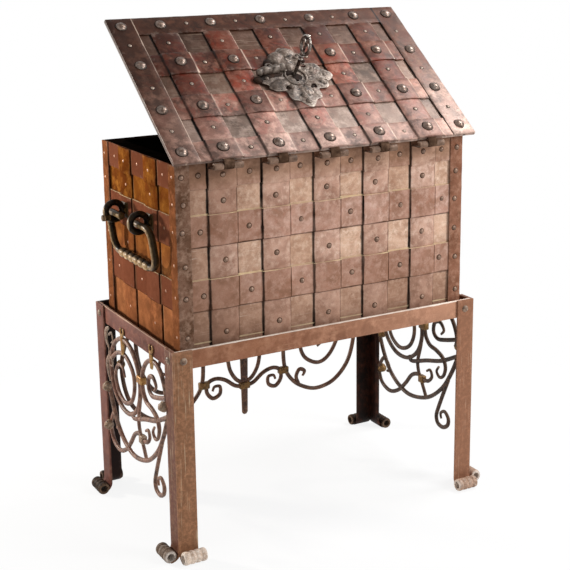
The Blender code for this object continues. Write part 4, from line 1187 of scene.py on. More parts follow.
# Darker copies for the far leg and the far rail: painted shade on faces seen from inside the stand
FAR_LEG = STAND_RED.variant("far_leg_iron", "0d0604 1e0f0a 3f2116 3a1a0f 6e5142")
FAR_RAIL = FAR_LEG.variant("far_rail_iron", wear=0.0)
# Its line is a painted highlight along the rail's top edge
NEAR_RAIL = STAND_RED.variant(
    "near_rail_iron", "744833 96674d a87a60 875540 ddc2a2", wear=0.0,
    tints=(Tint("ba8c72", Axis.X, -0.2, 0.4, 0.7),), scratches=Scratches(Axis.X, "c09a7c", 0.4),
    lines=(Line(Axis.Z, 0.5200, FAR, 0.0022, "f0e6da", 0.85, 0.3),),
)
FOOT_IRON = STAND_RED.variant(
    "worn_foot_iron", "a58a76 e4d0be f4eadf b89b85 f6eee5", patches=40.0,
    tints=(Tint("5c483a", Axis.X, -0.4290, -0.4300, 0.9),),
)
BROWN_FOOT = FOOT_IRON.variant("brown_foot_iron", "6b5040 ad8d79 cbb09c 7d5f4d", tints=())
# Darker copy for the far feet: painted shade
DARK_FOOT = BROWN_FOOT.variant("dark_foot_iron", "0c0705 241812 54402f 1d120d 7a6350")

# Scrollwork
SCROLL_IRON = IronFinish(
    "scroll_red_iron", "321b14", "6c4334", "97705c", "552c1f", "bfa28a", patches=24.0, metallic=0.0, smoothest=0.34,
    mattest=0.55, wear=0.5, gloss=0.25,
)
# Darker copies for the far and front panels, seen from inside the stand: painted shade
FAR_SCROLL = SCROLL_IRON.variant("far_scroll_iron", "150c08 35231a 59402f 43260f 7d6047")
FRONT_SCROLL = SCROLL_IRON.variant("front_scroll_iron", "28170f 543527 7d5a45 4c2b1b 99785f")
LEAF_IRON = SCROLL_IRON.variant("leaf_iron", "33201a 745746 a88b75 4c3024 d2c2ac", patches=55.0)
KNOB_IRON = SCROLL_IRON.variant("knob_iron", "4a3222 82644c ac9074", worn="ddd0bd", patches=70.0)
GILT_IRON = SCROLL_IRON.variant("gilt_iron", "4a2a12 96622c b98a4a 5f3317 e6c98f", metallic=0.4, patches=60.0)
# Dimmer gilt for the far and front panels: painted shade
DIM_GILT = GILT_IRON.variant("dim_gilt_iron", "2a1a0c 684a26 8a683c", worn="a98a58")

# Handles
# Its line is a painted highlight on the outer side of the left handle's rings
HANDLE_IRON = IronFinish(
    "handle_black_iron", "040302", "0e0906", "241809", "1c1108", "8a6a40", patches=40.0, metallic=0.0,
    smoothest=0.26, mattest=0.38, wear=0.4, bump=0.15, gloss=0.08,
    lines=(Line(Axis.X, -0.4592, FAR, 0.0026, "c2a783", 0.85, 0.3),),
)
# Its tint is a painted highlight along the bails' outer sides, widening downwards
GRIP_IRON = HANDLE_IRON.variant(
    "grip_iron", lines=(), tints=(Tint("b0926b", Axis.X, 0.3312, 0.3350, 0.88, both_sides=True, lean=-0.133),),
)


@dataclass(frozen=True)
class ScrollTones:
    """Finishes of one scroll panel."""

    bars: IronFinish
    leaf: IronFinish
    knobs: IronFinish
    collars: IronFinish


NEAR_TONES = ScrollTones(SCROLL_IRON, LEAF_IRON, KNOB_IRON, GILT_IRON)
FRONT_TONES = ScrollTones(FRONT_SCROLL, FRONT_SCROLL, DIM_GILT, DIM_GILT)
FAR_TONES = ScrollTones(FAR_SCROLL, FAR_SCROLL, DIM_GILT, DIM_GILT)


def dress(piece: Object, finish: IronFinish, body: Body, slot: Slot, *nodes: str) -> None:
    """Give a finished piece its material and body.

    Args:
        piece: The piece.
        finish: Its finish.
        body: Body that it rides on.
        slot: Record slot that its finish belongs to; not used.
        *nodes: Frame nodes that it stands for.
    """
    piece.data.materials.clear()
    piece.data.materials.append(finish.material())
    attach(piece, body.value)
    if nodes:
        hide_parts(*nodes)
    log.info("%s: %d faces on %s", piece.name, len(piece.data.polygons), body.value)


def keep(finish: IronFinish, *nodes: str) -> None:
    """Show frame nodes with a finish of their own.

    Args:
        finish: The finish.
        *nodes: The nodes.
    """
    for node in nodes:
        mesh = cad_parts[node].data
        mesh.materials.clear()
        mesh.materials.append(finish.material())
        log.info("%s: kept from the frame", node)


# Rivets


@dataclass(frozen=True)
class RivetHead:
    """Domed rivet head on a low skirt, with a dark ring of painted shade round it."""

    radius: float
    height: float
    sides: int = 12
    ring: float = 1.0
    skirt: float = 0.12
    root: float = 0.001
    ring_edge: float = 0.0003
    ring_top: float = 0.0008

    def row(self, places: Sequence[Matrix], name: str) -> Object:
        """Heads at some places as one piece, each sunk a little below its surface.

        Args:
            places: Their placements.
            name: Name of the piece.

        Returns:
            The piece.
        """
        r, h = self.radius, self.height
        dome = [(r * math.cos(a), h * (self.skirt + (1 - self.skirt) * math.sin(a))) for a in (0.0, 0.45, 0.95)]
        form = Bench.turned("rivet", [(0.0, -self.root), (r, -self.root), *dome, (0.0, h)], self.sides)
        return Bench.copies(form, places, name)

    def shade_rings(self, places: Sequence[Matrix], name: str) -> Object:
        """Low dark rings of painted shade round heads at some places, as one piece.

        Args:
            places: Placements of the heads.
            name: Name of the piece.

        Returns:
            The piece.
        """
        outer = self.radius * self.ring
        profile = [(0.0, -self.root), (outer, -self.root), (outer, self.ring_edge)]
        profile += [(self.radius, self.ring_top), (0.0, self.ring_top)]
        return Bench.copies(Bench.turned("ring", profile, self.sides), places, name)


STUD = RivetHead(0.0135, 0.0085, 24, ring=1.14)
LEG_RIVET = RivetHead(0.0090, 0.0050, 16)
PLATE_RIVET = RivetHead(0.0062, 0.0046, 16)
RIVET = RivetHead(0.0057, 0.0042, ring=1.3)
SMALL_RIVET = RivetHead(0.0048, 0.0022, 10, ring=1.35)
END_PIN = RivetHead(0.0036, 0.0014, 8)


# Sub-assemblies


@dataclass
class Stand:
    """Angle-iron legs with beaded, rolled feet, and the rails between them."""

    height: float = 0.521
    roll_radius: float = 0.016
    roll_bore: float = 0.0095
    roll_reach: float = 0.022
    roll_length: float = 0.058
    roll_sides: int = 28
    beads: int = 4
    bead_shares: tuple[float, ...] = (0.03, 0.14, 0.32, 0.5, 0.68, 0.86, 0.97)
    groove: float = 0.0026
    rivet_height: float = 0.497
    rivet_share: float = 0.54
    edge: float = 0.0009
    span: float = 0.016
    strips: int = 5
    dents: float = 0.0006
    dent_size: float = 0.05

    def flange_form(self, along_y: bool) -> Object:
        """One flange with the bend into its roll.

        Args:
            along_y: True for the flange along Y, False for the one along X.

        Returns:
            The flange.
        """
        half = LEG_IRON / 2
        bend = self.roll_reach + half
        path = [(half, self.height), *arc((half - bend, half + bend), bend, 0, -90, 8)]
        if along_y:
            points, across = [(u, 0.0, v) for u, v in path], (0.0, LEG_FLANGE, 0.0)
        else:
            points, across = [(0.0, u, v) for u, v in path], (LEG_FLANGE, 0.0, 0.0)
        obj = Bench.sheet("flange", filled(points, self.span), across, self.strips)
        return Bench.thicken(Bench.hammer(obj, self.dents, self.dent_size), LEG_IRON, self.edge)

    def roll_form(self) -> Object:
        """Beaded hollow roll along +Z from the origin.

        Returns:
            The roll.
        """
        bead = self.roll_length / self.beads
        profile = [(self.roll_bore, self.roll_length)]
        for i in range(self.beads):
            for share in self.bead_shares:
                swell = math.sqrt(max(0.0, 1 - (2 * share - 1) ** 2))
                radius = self.roll_radius - self.groove * (1 - swell)
                profile.append((radius, self.roll_length - (i + share) * bead))
        profile += [(self.roll_bore, 0.0), (self.roll_bore, self.roll_length)]
        return Bench.turned("roll", profile, self.roll_sides)

    def build_legs(self) -> None:
        """Model one leg with its feet and rivets, and set it at the four corners."""
        leg = Bench.join([self.flange_form(False), self.flange_form(True)], "leg")
        middle, high = self.rivet_share * LEG_FLANGE, self.rivet_height
        heads = [facing((middle, 0.0, high), (0, -1, 0)), facing((0.0, middle, high), (-1, 0, 0))]
        rivets = LEG_RIVET.row(heads, "leg_rivets")
        along_x = at(0.0, -self.roll_reach, self.roll_radius) @ turned_by(90, "Y")
        along_y = at(-self.roll_reach, 0.0, self.roll_radius) @ turned_by(-90, "X")
        feet = Bench.copies(self.roll_form(), [along_x, along_y], "feet")
        finishes = {
            "back_left": (NEAR_LEG, FOOT_IRON), "back_right": (NEAR_RIGHT_LEG, BROWN_FOOT),
            "front_right": (FAR_LEG, DARK_FOOT), "front_left": (FAR_LEFT_LEG, DARK_FOOT),
        }
        for corner, place in corner_places(STAND_WIDTH / 2, STAND_DEPTH / 2).items():
            for form, kind, finish in zip(
                (leg, feet, rivets), ("stand_leg", "rolled_feet", "leg_rivets"), (*finishes[corner], LEAF_IRON)
            ):
                piece = Bench.instance(form, f"{kind}_{corner}", place)
                dress(piece, finish, Body.CHEST, Slot.STAND, f"leg_{corner}")
        for form in (leg, feet, rivets):
            bpy.data.objects.remove(form)

    def build_rails(self) -> None:
        """Rails with rounded edges."""
        finishes = {"back": NEAR_RAIL, "left": LEFT_RAIL, "right": LEFT_RAIL, "front": FAR_RAIL}
        for side, finish in finishes.items():
            piece = Bench.node_copy(f"rail_{side}", f"stand_rail_{side}", self.edge)
            dress(piece, finish, Body.CHEST, Slot.STAND, f"rail_{side}")

    def build(self) -> None:
        """Build the whole stand."""
        self.build_legs()
        self.build_rails()


@dataclass(frozen=True)
class Scroll:
    """One bar of a panel's drawing, with its share of the panel's depth; a tapered one has a thin far tip."""

    share: float
    points: Sequence[Point2]
    tapered: bool = True
    closed: bool = False


# Ring, far spiral, near scroll, near spiral, tail, swag, far curl, stem, tie and garland of a side panel
SIDE_SCROLLS = (
    Scroll(0.94, arc((-7.0, 10.8), 9.7, 0, 360, 10)[:-1], tapered=False, closed=True),
    Scroll(0.80, (
        (-16.3, 8.6), (-12.0, 5.9), (-6.5, 5.2), (-1.8, 8.2), (-1.2, 12.4), (-3.5, 16.4),
        (-8.0, 18.1), (-12.2, 16.2), (-13.8, 12.4), (-11.8, 9.1), (-8.8, 9.0), (-7.4, 11.2),
    )),
    Scroll(0.90, (
        (18.9, 10.4), (18.3, 6.4), (15.8, 2.6), (12.0, 1.2), (7.5, 2.6), (4.5, 6.4), (4.2, 10.4), (6.2, 13.1),
        (9.5, 13.9), (12.5, 15.2), (13.8, 17.6), (13.0, 20.2), (11.2, 21.2), (9.8, 19.9), (10.8, 18.3),
    )),
    Scroll(0.76, (
        (18.9, 8.2), (13.5, 9.8), (10.0, 10.4), (8.1, 8.9), (8.6, 6.2), (11.0, 5.4), (12.8, 7.2), (11.6, 8.7),
    )),
    Scroll(0.82, (
        (15.2, 20.8), (12.8, 25.9), (10.7, 30.6), (10.0, 32.9), (10.7, 34.7), (13.0, 35.2),
        (15.2, 33.9), (15.5, 31.9), (13.8, 30.4), (12.0, 31.4), (12.3, 32.9),
    )),
    Scroll(0.86, (
        (-18.9, 28.6), (-17.2, 31.6), (-13.0, 32.9), (-8.5, 31.1), (-5.0, 27.9), (-2.0, 24.6),
        (1.2, 23.4), (3.5, 24.2), (6.0, 23.9), (7.6, 22.2), (6.8, 20.5), (5.2, 21.2),
    )),
    Scroll(0.66, ((-18.9, 27.0), (-16.5, 23.8), (-14.2, 24.8), (-13.5, 26.7), (-14.8, 27.3))),
    Scroll(0.72, ((3.0, 8.9), (2.2, 14.4), (0.8, 19.4), (1.2, 22.4), (2.5, 24.6), (5.0, 29.0)), tapered=False),
    Scroll(0.70, ((-3.6, 19.2), (-2.0, 20.4), (5.0, 18.2), (12.0, 16.2), (18.9, 12.9)), tapered=False),
    Scroll(0.96, (
        (18.9, 13.8), (16.5, 18.4), (12.5, 23.9), (6.0, 28.7), (-2.0, 30.8), (-8.0, 29.8),
        (-13.0, 26.7), (-16.5, 21.9), (-18.9, 16.6),
    ), tapered=False),
)
# Oval, its spiral and curl, the low scroll and the high scroll of the front panel
FRONT_SCROLLS = (
    Scroll(0.94, (
        (24.6, 0.8), (18.0, 2.2), (13.9, 8.0), (12.8, 15.0), (13.1, 23.4), (15.6, 28.0), (19.5, 30.8),
        (24.0, 32.0), (29.5, 30.6), (34.0, 26.2), (36.2, 20.0), (36.6, 13.0), (34.5, 6.5), (30.0, 2.2),
    ), tapered=False, closed=True),
    Scroll(0.80, (
        (30.6, 2.4), (32.4, 8.0), (31.4, 16.0), (28.4, 22.0), (24.5, 24.2), (20.2, 22.2),
        (18.4, 18.4), (19.4, 14.4), (22.6, 12.8), (25.4, 14.6), (25.8, 17.6), (24.0, 19.2),
    )),
    Scroll(0.70, ((17.6, 29.4), (16.9, 27.2), (18.0, 25.2), (19.7, 26.0), (19.0, 27.4))),
    Scroll(0.86, (
        (0.4, 26.9), (3.0, 26.2), (6.0, 24.0), (9.0, 23.1), (11.4, 24.0), (11.8, 26.6), (10.0, 28.7),
        (7.8, 27.8), (7.7, 25.6), (9.4, 25.4), (10.0, 26.6),
    )),
    Scroll(0.76, (
        (0.4, 25.8), (2.6, 24.4), (4.4, 21.4), (5.4, 17.0), (7.6, 12.4), (10.0, 9.4), (10.4, 5.8),
        (8.4, 3.8), (5.6, 5.0), (5.4, 7.8), (7.4, 8.6), (8.2, 7.0),
    )),
)
# Stem and curls of the leaf up the far leg's edge
LEAF_STEM = (
    (-16.6, 0.4), (-18.5, 1.6), (-18.7, 4.0), (-17.2, 5.8), (-17.0, 8.0), (-18.4, 10.0), (-18.4, 12.6), (-17.1, 15.0),
)
LEAF_CURLS = (
    ((-16.6, 2.2), (-14.8, 1.4), (-14.0, 3.2), (-15.4, 4.2)),
    ((-17.2, 8.2), (-15.4, 8.4), (-15.0, 10.2), (-16.4, 10.6)),
)


@dataclass
class ScrollPanel:
    """Scrollwork in one upright plane, drawn in centimetres from the middle and down from the rail."""

    node: str
    half_span: float
    drop: float
    drawing_span: float
    drawing_drop: float
    upright: Matrix
    flip: int = 1
    rail_bottom: float = 0.474
    bar_width: float = 0.012
    bar_depth: float = 0.012
    tip: float = 0.007
    curve_steps: int = 7
    collar_lap: float = 0.0014
    collar_edge: float = 0.0022
    knob_radius: float = 0.0132
    knob_half: float = 0.0125
    knob_inset: float = 0.012
    knob_lift: float = 0.004
    hook_half: float = 0.0080
    hook_sway: float = 0.002
    horn: tuple[Point2, ...] = ((0.0, -0.009), (0.007, -0.001), (0.010, 0.008), (0.006, 0.014))

    def spot(self, u: float, v: float) -> Point2:
        """Place in the panel of a point of the drawing."""
        return self.flip * u * self.half_span / self.drawing_span, self.rail_bottom - v * self.drop / self.drawing_drop

    def bar(self, scroll: Scroll) -> Object:
        """Bar through the points of a drawing.

        Args:
            scroll: The drawn bar.

        Returns:
            The bar, lying flat.
        """
        path = smooth([self.spot(u, v) for u, v in scroll.points], self.curve_steps, scroll.closed)
        count = len(path)
        taper = count // 3
        radii = [self.bar_width / 2] * count
        if scroll.tapered:
            for i in range(taper):
                radii[count - taper + i] -= (self.bar_width - self.tip) / 2 * (i + 1) / taper
        obj = Bench.bar("scroll", [(u, v, 0.0) for u, v in path], radii, scroll.closed)
        return Bench.place(obj, scaled(1.0, 1.0, scroll.share * self.bar_depth / self.bar_width))

    def collar(self, u: float, v: float, width: float = 0.030, height: float = 0.019) -> Object:
        """Forged band round the bars where they meet.

        Args:
            u: Its place along the drawing.
            v: Its place down the drawing.
            width: Its width.
            height: Its height.

        Returns:
            The band, lying flat.
        """
        x, z = self.spot(u, v)
        half = self.bar_depth / 2 + self.collar_lap
        low, high = (x - width / 2, z - height / 2, -half), (x + width / 2, z + height / 2, half)
        return Bench.block("collar", low, high, self.collar_edge)

    def knob(self, side: int, v: float) -> Object:
        """Round hammered knob that grips a leg's edge from both faces.

        Args:
            side: -1 or 1 for the two legs.
            v: Its place down the drawing.

        Returns:
            The knob.
        """
        r, half = self.knob_radius, self.knob_half
        swell = [(r * math.cos(a), half * math.sin(a)) for a in (-1.2, -0.8, -0.4, 0.0, 0.4, 0.8, 1.2)]
        form = Bench.hammer(Bench.turned("knob", [(0.0, -half), *swell, (0.0, half)], 24), 0.0060, 0.008)
        middle = (self.bar_depth - LEG_IRON) / 2
        reach = self.half_span - self.knob_inset
        return Bench.place(form, at(side * reach, self.spot(0.0, v)[1], middle + self.knob_lift))

    def leaf(self, path: Sequence[Point2], radii: Sequence[float], thickness: float) -> Object:
        """Flat leaf in the legs' layer; its radii are half its width, its thickness is a share of that width."""
        flat = at(0.0, 0.0, (self.bar_depth - LEG_IRON) / 2) @ scaled(1.0, 1.0, thickness)
        return Bench.place(Bench.bar("leaf", [(u, v, 0.0) for u, v in path], radii), flat)

    def curl(self, path: Sequence[Point2], root: float, loss: float, thickness: float) -> Object:
        """Leaf that narrows from its root to its tip."""
        return self.leaf(path, [root - loss * i / len(path) for i in range(len(path))], thickness)

    def hook(self, u: float, v: float, rise: float = 0.014) -> Object:
        """Tongue that laps over the outer face of the rail and ends in two horns.

        Args:
            u: Place of its foot along the drawing.
            v: Place of its foot down the drawing.
            rise: Height of its horns' root over the rail's lower edge.

        Returns:
            The hook, lying flat.
        """
        x, z = self.spot(u, v)
        top = self.rail_bottom + rise
        shares = along_path(9)
        path = [(x + self.hook_sway * math.sin(5.0 * s), z + (top - z) * s) for s in shares]
        forms = [self.leaf(path, [self.hook_half * (0.8 + 0.35 * math.sin(math.pi * s)) for s in shares], 0.45)]
        for side in (-1, 1):
            path = smooth([(x + side * across, top + up) for across, up in self.horn], 4)
            forms.append(self.curl(path, 0.0050, 0.0026, 0.6))
        return Bench.join(forms, "hook")

    def acanthus(self) -> Object:
        """Curled leaf up the far leg's edge.

        Returns:
            The leaf, lying flat.
        """
        path = smooth([self.spot(u, v) for u, v in LEAF_STEM], 6)
        waves = [abs(math.sin(math.pi * (0.06 + 2.0 * s))) for s in along_path(len(path) - 1)]
        forms = [self.leaf(path, [0.0030 + 0.0052 * wave for wave in waves], 0.40)]
        for drawn in LEAF_CURLS:
            forms.append(self.curl(smooth([self.spot(u, v) for u, v in drawn], 6), 0.0042, 0.0022, 0.55))
        return Bench.join(forms, "acanthus")

    def finish_panel(self, tones: ScrollTones, forms: dict[str, list[Object]]) -> None:
        """Stand the panel upright in its place and dress its bars, knobs and collars.

        Args:
            tones: Finishes of the panel.
            forms: Forms of the panel by their kind.
        """
        place = self.upright @ at(0.0, 0.0, -self.bar_depth / 2)
        for kind, made in forms.items():
            piece = Bench.place(Bench.join(made, self.node.replace("panel", kind)), place)
            nodes = (self.node,) if kind == "bars" else ()
            dress(piece, getattr(tones, kind), Body.CHEST, Slot.SCROLL, *nodes)


@dataclass
class Scrollwork:
    """Scroll panels of the left, right and front sides of the stand."""

    side_drop: float = 0.362
    front_drop: float = 0.346
    side_drawing: Point2 = (19.7, 36.2)
    front_drawing: Point2 = (37.9, 34.6)
    spear_root: float = 0.0160
    spear_loss: float = 0.0066
    spear_flat: float = 0.36

    def side_panel(self, side: str, tones: ScrollTones) -> None:
        """Scrolls above and garland below on one end of the stand; u runs towards the back legs.

        Args:
            side: Which end it is.
            tones: Finishes of the panel.
        """
        way = SIDES[side]
        turn = Matrix(((0, 0, way), (way, 0, 0), (0, 1, 0))).to_4x4()
        upright = at(way * STAND_WIDTH / 2, 0.0, 0.0) @ turn
        span = STAND_DEPTH / 2 - LEG_FLANGE
        panel = ScrollPanel(f"{side}_scroll_panel", span, self.side_drop, *self.side_drawing, upright, flip=-way)
        bars = [panel.bar(scroll) for scroll in SIDE_SCROLLS]
        collars = [panel.collar(3.4, 8.4), panel.hook(-7.5, 5.0, 0.004), panel.hook(11.2, 3.0)]
        knobs = [panel.collar(3.0, 24.2, 0.020, 0.020), panel.knob(-way, 10.2)]
        knobs += [panel.knob(way, v) for v in (16.9, 27.6)]
        forms = {"bars": bars, "leaf": [panel.acanthus()], "knobs": knobs, "collars": collars}
        panel.finish_panel(tones, forms)

    def spear(self, panel: ScrollPanel) -> Object:
        """Tapered drop with a round tip in the middle of the front.

        Args:
            panel: The front panel.

        Returns:
            The drop, lying flat.
        """
        top, foot = panel.spot(0.0, 0.5)[1], panel.spot(0.0, 34.7)[1]
        shares = along_path(14)
        radii = [self.spear_root - self.spear_loss * s for s in shares] + [0.0050]
        path = [(0.0, top + (foot - top) * s, 0.0) for s in (*shares, 1.018)]
        return Bench.place(Bench.bar("spear", path, radii), scaled(1.0, 1.0, self.spear_flat))

    def front_panel(self) -> None:
        """Two ovals with their spirals about a drop spear; u runs along the stand."""
        turn = Matrix(((-1, 0, 0), (0, 0, 1), (0, 1, 0))).to_4x4()
        upright = at(0.0, STAND_DEPTH / 2, 0.0) @ turn
        span = STAND_WIDTH / 2 - LEG_FLANGE
        bars, knobs, collars = [], [], []
        for flip in (-1, 1):
            panel = ScrollPanel("front_scroll_panel", span, self.front_drop, *self.front_drawing, upright, flip)
            bars += [panel.bar(scroll) for scroll in FRONT_SCROLLS]
            knobs += [panel.collar(12.6, 24.4), panel.knob(flip, 14.0)]
            collars.append(panel.hook(24.6, 1.4))
        bars.append(self.spear(panel))
        collars += [panel.collar(0.0, 26.6, 0.031), panel.hook(0.0, 4.0)]
        panel.finish_panel(FRONT_TONES, {"bars": bars, "knobs": knobs, "collars": collars})

    def build(self) -> None:
        """Build the three panels."""
        self.side_panel("left", NEAR_TONES)
        self.side_panel("right", FAR_TONES)
        self.front_panel()


@dataclass
class Chest:
    """Sheet-iron box with its woven straps, hoops, corner irons and rivets."""

    wall_x: float = 0.3934
    wall_y: float = 0.2179
    base: float = 0.4826
    strap_top: float = 0.9496
    top_hoop: float = 0.060
    hoop_width: float = 0.075
    upper: float = 0.7911
    lower: float = 0.6381
    squares: Point3 = (0.859, 0.7146, 0.545)
    corner: float = 0.037
    corner_span: float = 0.009
    corner_rows: int = 32
    corner_edge: float = 0.0010
    tongue_bend: float = 0.005
    tongue_split: float = 0.0100
    eye_lap: float = 0.0006
    ear_play: float = 0.001
    pin_radius: float = 0.004
    pin_chamfer: float = 0.0006
    edge: float = 0.0007
    dents: float = 0.0014
    astray_along: float = 0.004
    astray_up: float = 0.003

    def __post_init__(self) -> None:
        """Levels of the straps over the walls."""
        self.inner = GAP + STRAP_IRON / 2
        self.outer = self.inner + LAYER
        self.step = self.strap_top - self.top_hoop - STRAP_IRON / 2 - GAP

    def finish_strap(self, obj: Object, finish: IronFinish, node: str) -> None:
        """Beat a strap's open sheet and dress it in a node's stead."""
        dress(Bench.beaten(obj, self.dents, self.edge), finish, Body.CHEST, Slot.STRAP, node)

    def hoop(self, node: str, low: float, high: float, weave: bool) -> None:
        """Hoop round the four walls, rising over the straps where it is woven.

        Args:
            node: Frame node of the hoop.
            low: Its lower edge.
            high: Its upper edge.
            weave: True if it passes over the straps.
        """
        x, y, lift = self.wall_x, self.wall_y, self.inner
        places = (LONG_PLACES, SHORT_PLACES) if weave else ((), ())
        back = woven(places[0], -x - lift, x + lift, lift, self.outer)[:-1]
        side = woven(places[1], -y - lift, y + lift, lift, self.outer)[:-1]
        path = [(u, -y - v, low) for u, v in back] + [(x + v, u, low) for u, v in side]
        path += [(-u, y + v, low) for u, v in back] + [(-x - v, -u, low) for u, v in side]
        obj = Bench.sheet(f"{node}_strap", filled([*path, path[0]]), (0.0, 0.0, high - low))
        self.finish_strap(obj, WALL_HOOP if weave else TOP_HOOP, node)

    def long_strap(self, number: int, place: float) -> None:
        """Strap from its hinge eyes down the back, under the bottom and up the front.

        Args:
            number: Number of the strap.
            place: Its middle along X.
        """
        inner, outer = self.wall_y + self.inner, self.wall_y + self.outer
        under, low = self.base - self.inner, self.step - JOGGLE
        tongue = HINGE_Z - EYE_RADIUS
        bend = arc((-outer - self.tongue_bend, tongue - self.tongue_bend), self.tongue_bend, 90, 0, 5)
        path = [(HINGE_Y + self.tongue_split, tongue), *bend, (-outer, self.step), (-inner, low), (-inner, under)]
        path += [(inner, under), (inner, low), (outer, self.step), (outer, self.strap_top)]
        points = filled([(place - HALF_STRAP, u, v) for u, v in path])
        strap = Bench.sheet(f"wall_strap_{number}", points, (STRAP_WIDTH, 0.0, 0.0))
        self.finish_strap(Bench.crown(strap, Axis.X, place, Axis.Y), WALL_STRAP, f"long_strap_{number}")
        ears = Bench.join(self.hinge_ears(place, tongue), f"hinge_ears_{number}")
        dress(ears, EAR_SHADE_IRON, Body.CHEST, Slot.STRAP, f"long_strap_{number}")

    def hinge_ears(self, place: float, tongue: float) -> list[Object]:
        """The two outer eyes of one hinge, and its pin.

        Args:
            place: Middle of the strap along X.
            tongue: Level of the strap's tongue.

        Returns:
            The forms.
        """
        ear = HALF_STRAP - EYE_WIDTH / 2 - self.ear_play
        eye = arc((HINGE_Y, HINGE_Z), EYE_RADIUS, -330, -90, 16)
        eye.append((HINGE_Y + self.tongue_split + self.eye_lap, tongue))
        forms = []
        for start in (place - HALF_STRAP, place + HALF_STRAP - ear):
            form = Bench.sheet("ear", [(start, u, v) for u, v in eye], (ear, 0.0, 0.0), 1)
            forms.append(Bench.thicken(form, STRAP_IRON, EYE_EDGE))
        r, c, length = self.pin_radius, self.pin_chamfer, STRAP_WIDTH
        profile = [(0.0, 0.0), (r - c, 0.0), (r, c), (r, length - c), (r - c, length), (0.0, length)]
        turn = at(place - HALF_STRAP, HINGE_Y, HINGE_Z) @ turned_by(90, "Y")
        return [*forms, Bench.place(Bench.turned("pin", profile, 16), turn)]

    def end_strap(self, side: str, number: int, place: float) -> None:
        """Short strap up one end of the chest.

        Args:
            side: Which end it is.
            number: Number of the strap.
            place: Its middle along Y.
        """
        inner, outer = self.wall_x + self.inner, self.wall_x + self.outer
        path = [(inner, self.base - LAYER), (inner, self.step - JOGGLE), (outer, self.step), (outer, self.strap_top)]
        points = filled([(SIDES[side] * u, place - HALF_STRAP, v) for u, v in path])
        obj = Bench.sheet(f"{side}_end_strap_{number}", points, (0.0, STRAP_WIDTH, 0.0))
        self.finish_strap(Bench.crown(obj, Axis.Y, place, Axis.X), END_STRAP, f"{side}_strap_{number}")

    def corners(self) -> None:
        """Angle irons over the four upright edges."""
        half = STRAP_IRON / 2
        low, high = self.base - LAYER, self.strap_top
        path = [(self.corner, half, low), (half, half, low), (half, self.corner, low)]
        form = Bench.sheet("corner", filled(path, self.corner_span), (0.0, 0.0, high - low), self.corner_rows)
        Bench.beaten(form, self.dents, self.corner_edge)
        for name, place in corner_places(self.wall_x + 2 * LAYER, self.wall_y + 2 * LAYER).items():
            finish = RED_CORNER if CORNERS[name][0] > 0 else CORNER_IRON
            piece = Bench.instance(form, f"corner_iron_{name}", place)
            dress(piece, finish, Body.CHEST, Slot.STRAP, f"corner_angle_{name}")
        bpy.data.objects.remove(form)

    def rivet_places(self, ends: bool) -> list[Matrix]:
        """Rivet heads on the woven squares of two walls and on their corner irons.

        Args:
            ends: True for the two ends, False for the back and front.

        Returns:
            Their placements.
        """
        draw = random.Random(11)
        top = self.strap_top - self.top_hoop / 2
        high, middle, low = self.squares
        rows = (top, high, self.upper, middle, self.lower, low)
        if ends:
            ways, straps = (((0, 1), (1, 0)), ((0, -1), (-1, 0))), SHORT_PLACES
            wall, half = self.wall_x, self.wall_y
        else:
            ways, straps = (((1, 0), (0, -1)), ((-1, 0), (0, 1))), LONG_PLACES
            wall, half = self.wall_y, self.wall_x
        outer = (straps[-1] + HALF_STRAP + half - self.corner) / 2
        pitch = straps[1] - straps[0]
        between = [-outer, *[s + pitch / 2 for s in straps[:-1]], outer]
        edge = half + 2 * LAYER - self.corner / 2
        first, second = self.inner + STRAP_IRON / 2, self.outer + STRAP_IRON / 2
        heads = [(s, top, second + CROWN) for s in straps] + [(s, top, first) for s in between]
        heads += [(s, z, first + CROWN) for s in straps for z in self.squares]
        heads += [(s, z, first) for s in between for z in (self.upper, self.lower)]
        heads += [(s, z, 2 * LAYER) for s in (-edge, edge) for z in rows]
        places = []
        for along, out in ways:
            for s, z, lift in heads:
                s += draw.uniform(-self.astray_along, self.astray_along)
                z += draw.uniform(-self.astray_up, self.astray_up)
                reach = wall + lift - SUNK
                point = (along[0] * s + out[0] * reach, along[1] * s + out[1] * reach, z)
                places.append(facing(point, (*out, 0.0), draw.uniform(0, MOST_SPIN)))
        return places

    def build(self) -> None:
        """Build everything that is fixed on the box."""
        half = self.hoop_width / 2
        self.hoop("hoop_top", self.strap_top - self.top_hoop, self.strap_top, False)
        self.hoop("hoop_upper", self.upper - half, self.upper + half, True)
        self.hoop("hoop_lower", self.lower - half, self.lower + half, True)
        for number, place in enumerate(LONG_PLACES, 1):
            self.long_strap(number, place)
        for side in SIDES:
            for number, place in enumerate(SHORT_PLACES, 1):
                self.end_strap(side, number, place)
        self.corners()
        places = self.rivet_places(False)
        dress(RIVET.row(places, "wall_rivets"), RIVET_IRON, Body.CHEST, Slot.STRAP)
        dress(RIVET.shade_rings(places, "wall_rivet_rings"), RIVET_SHADE, Body.CHEST, Slot.STRAP)
        dress(END_PIN.row(self.rivet_places(True), "end_rivets"), END_RIVET, Body.CHEST, Slot.STRAP)
        keep(WALL_PLATE, "back_wall", "front_wall")
        keep(END_PLATE, "left_wall", "right_wall")
        keep(INNER_SHADE_IRON, "chest_bottom", "rim_flange")


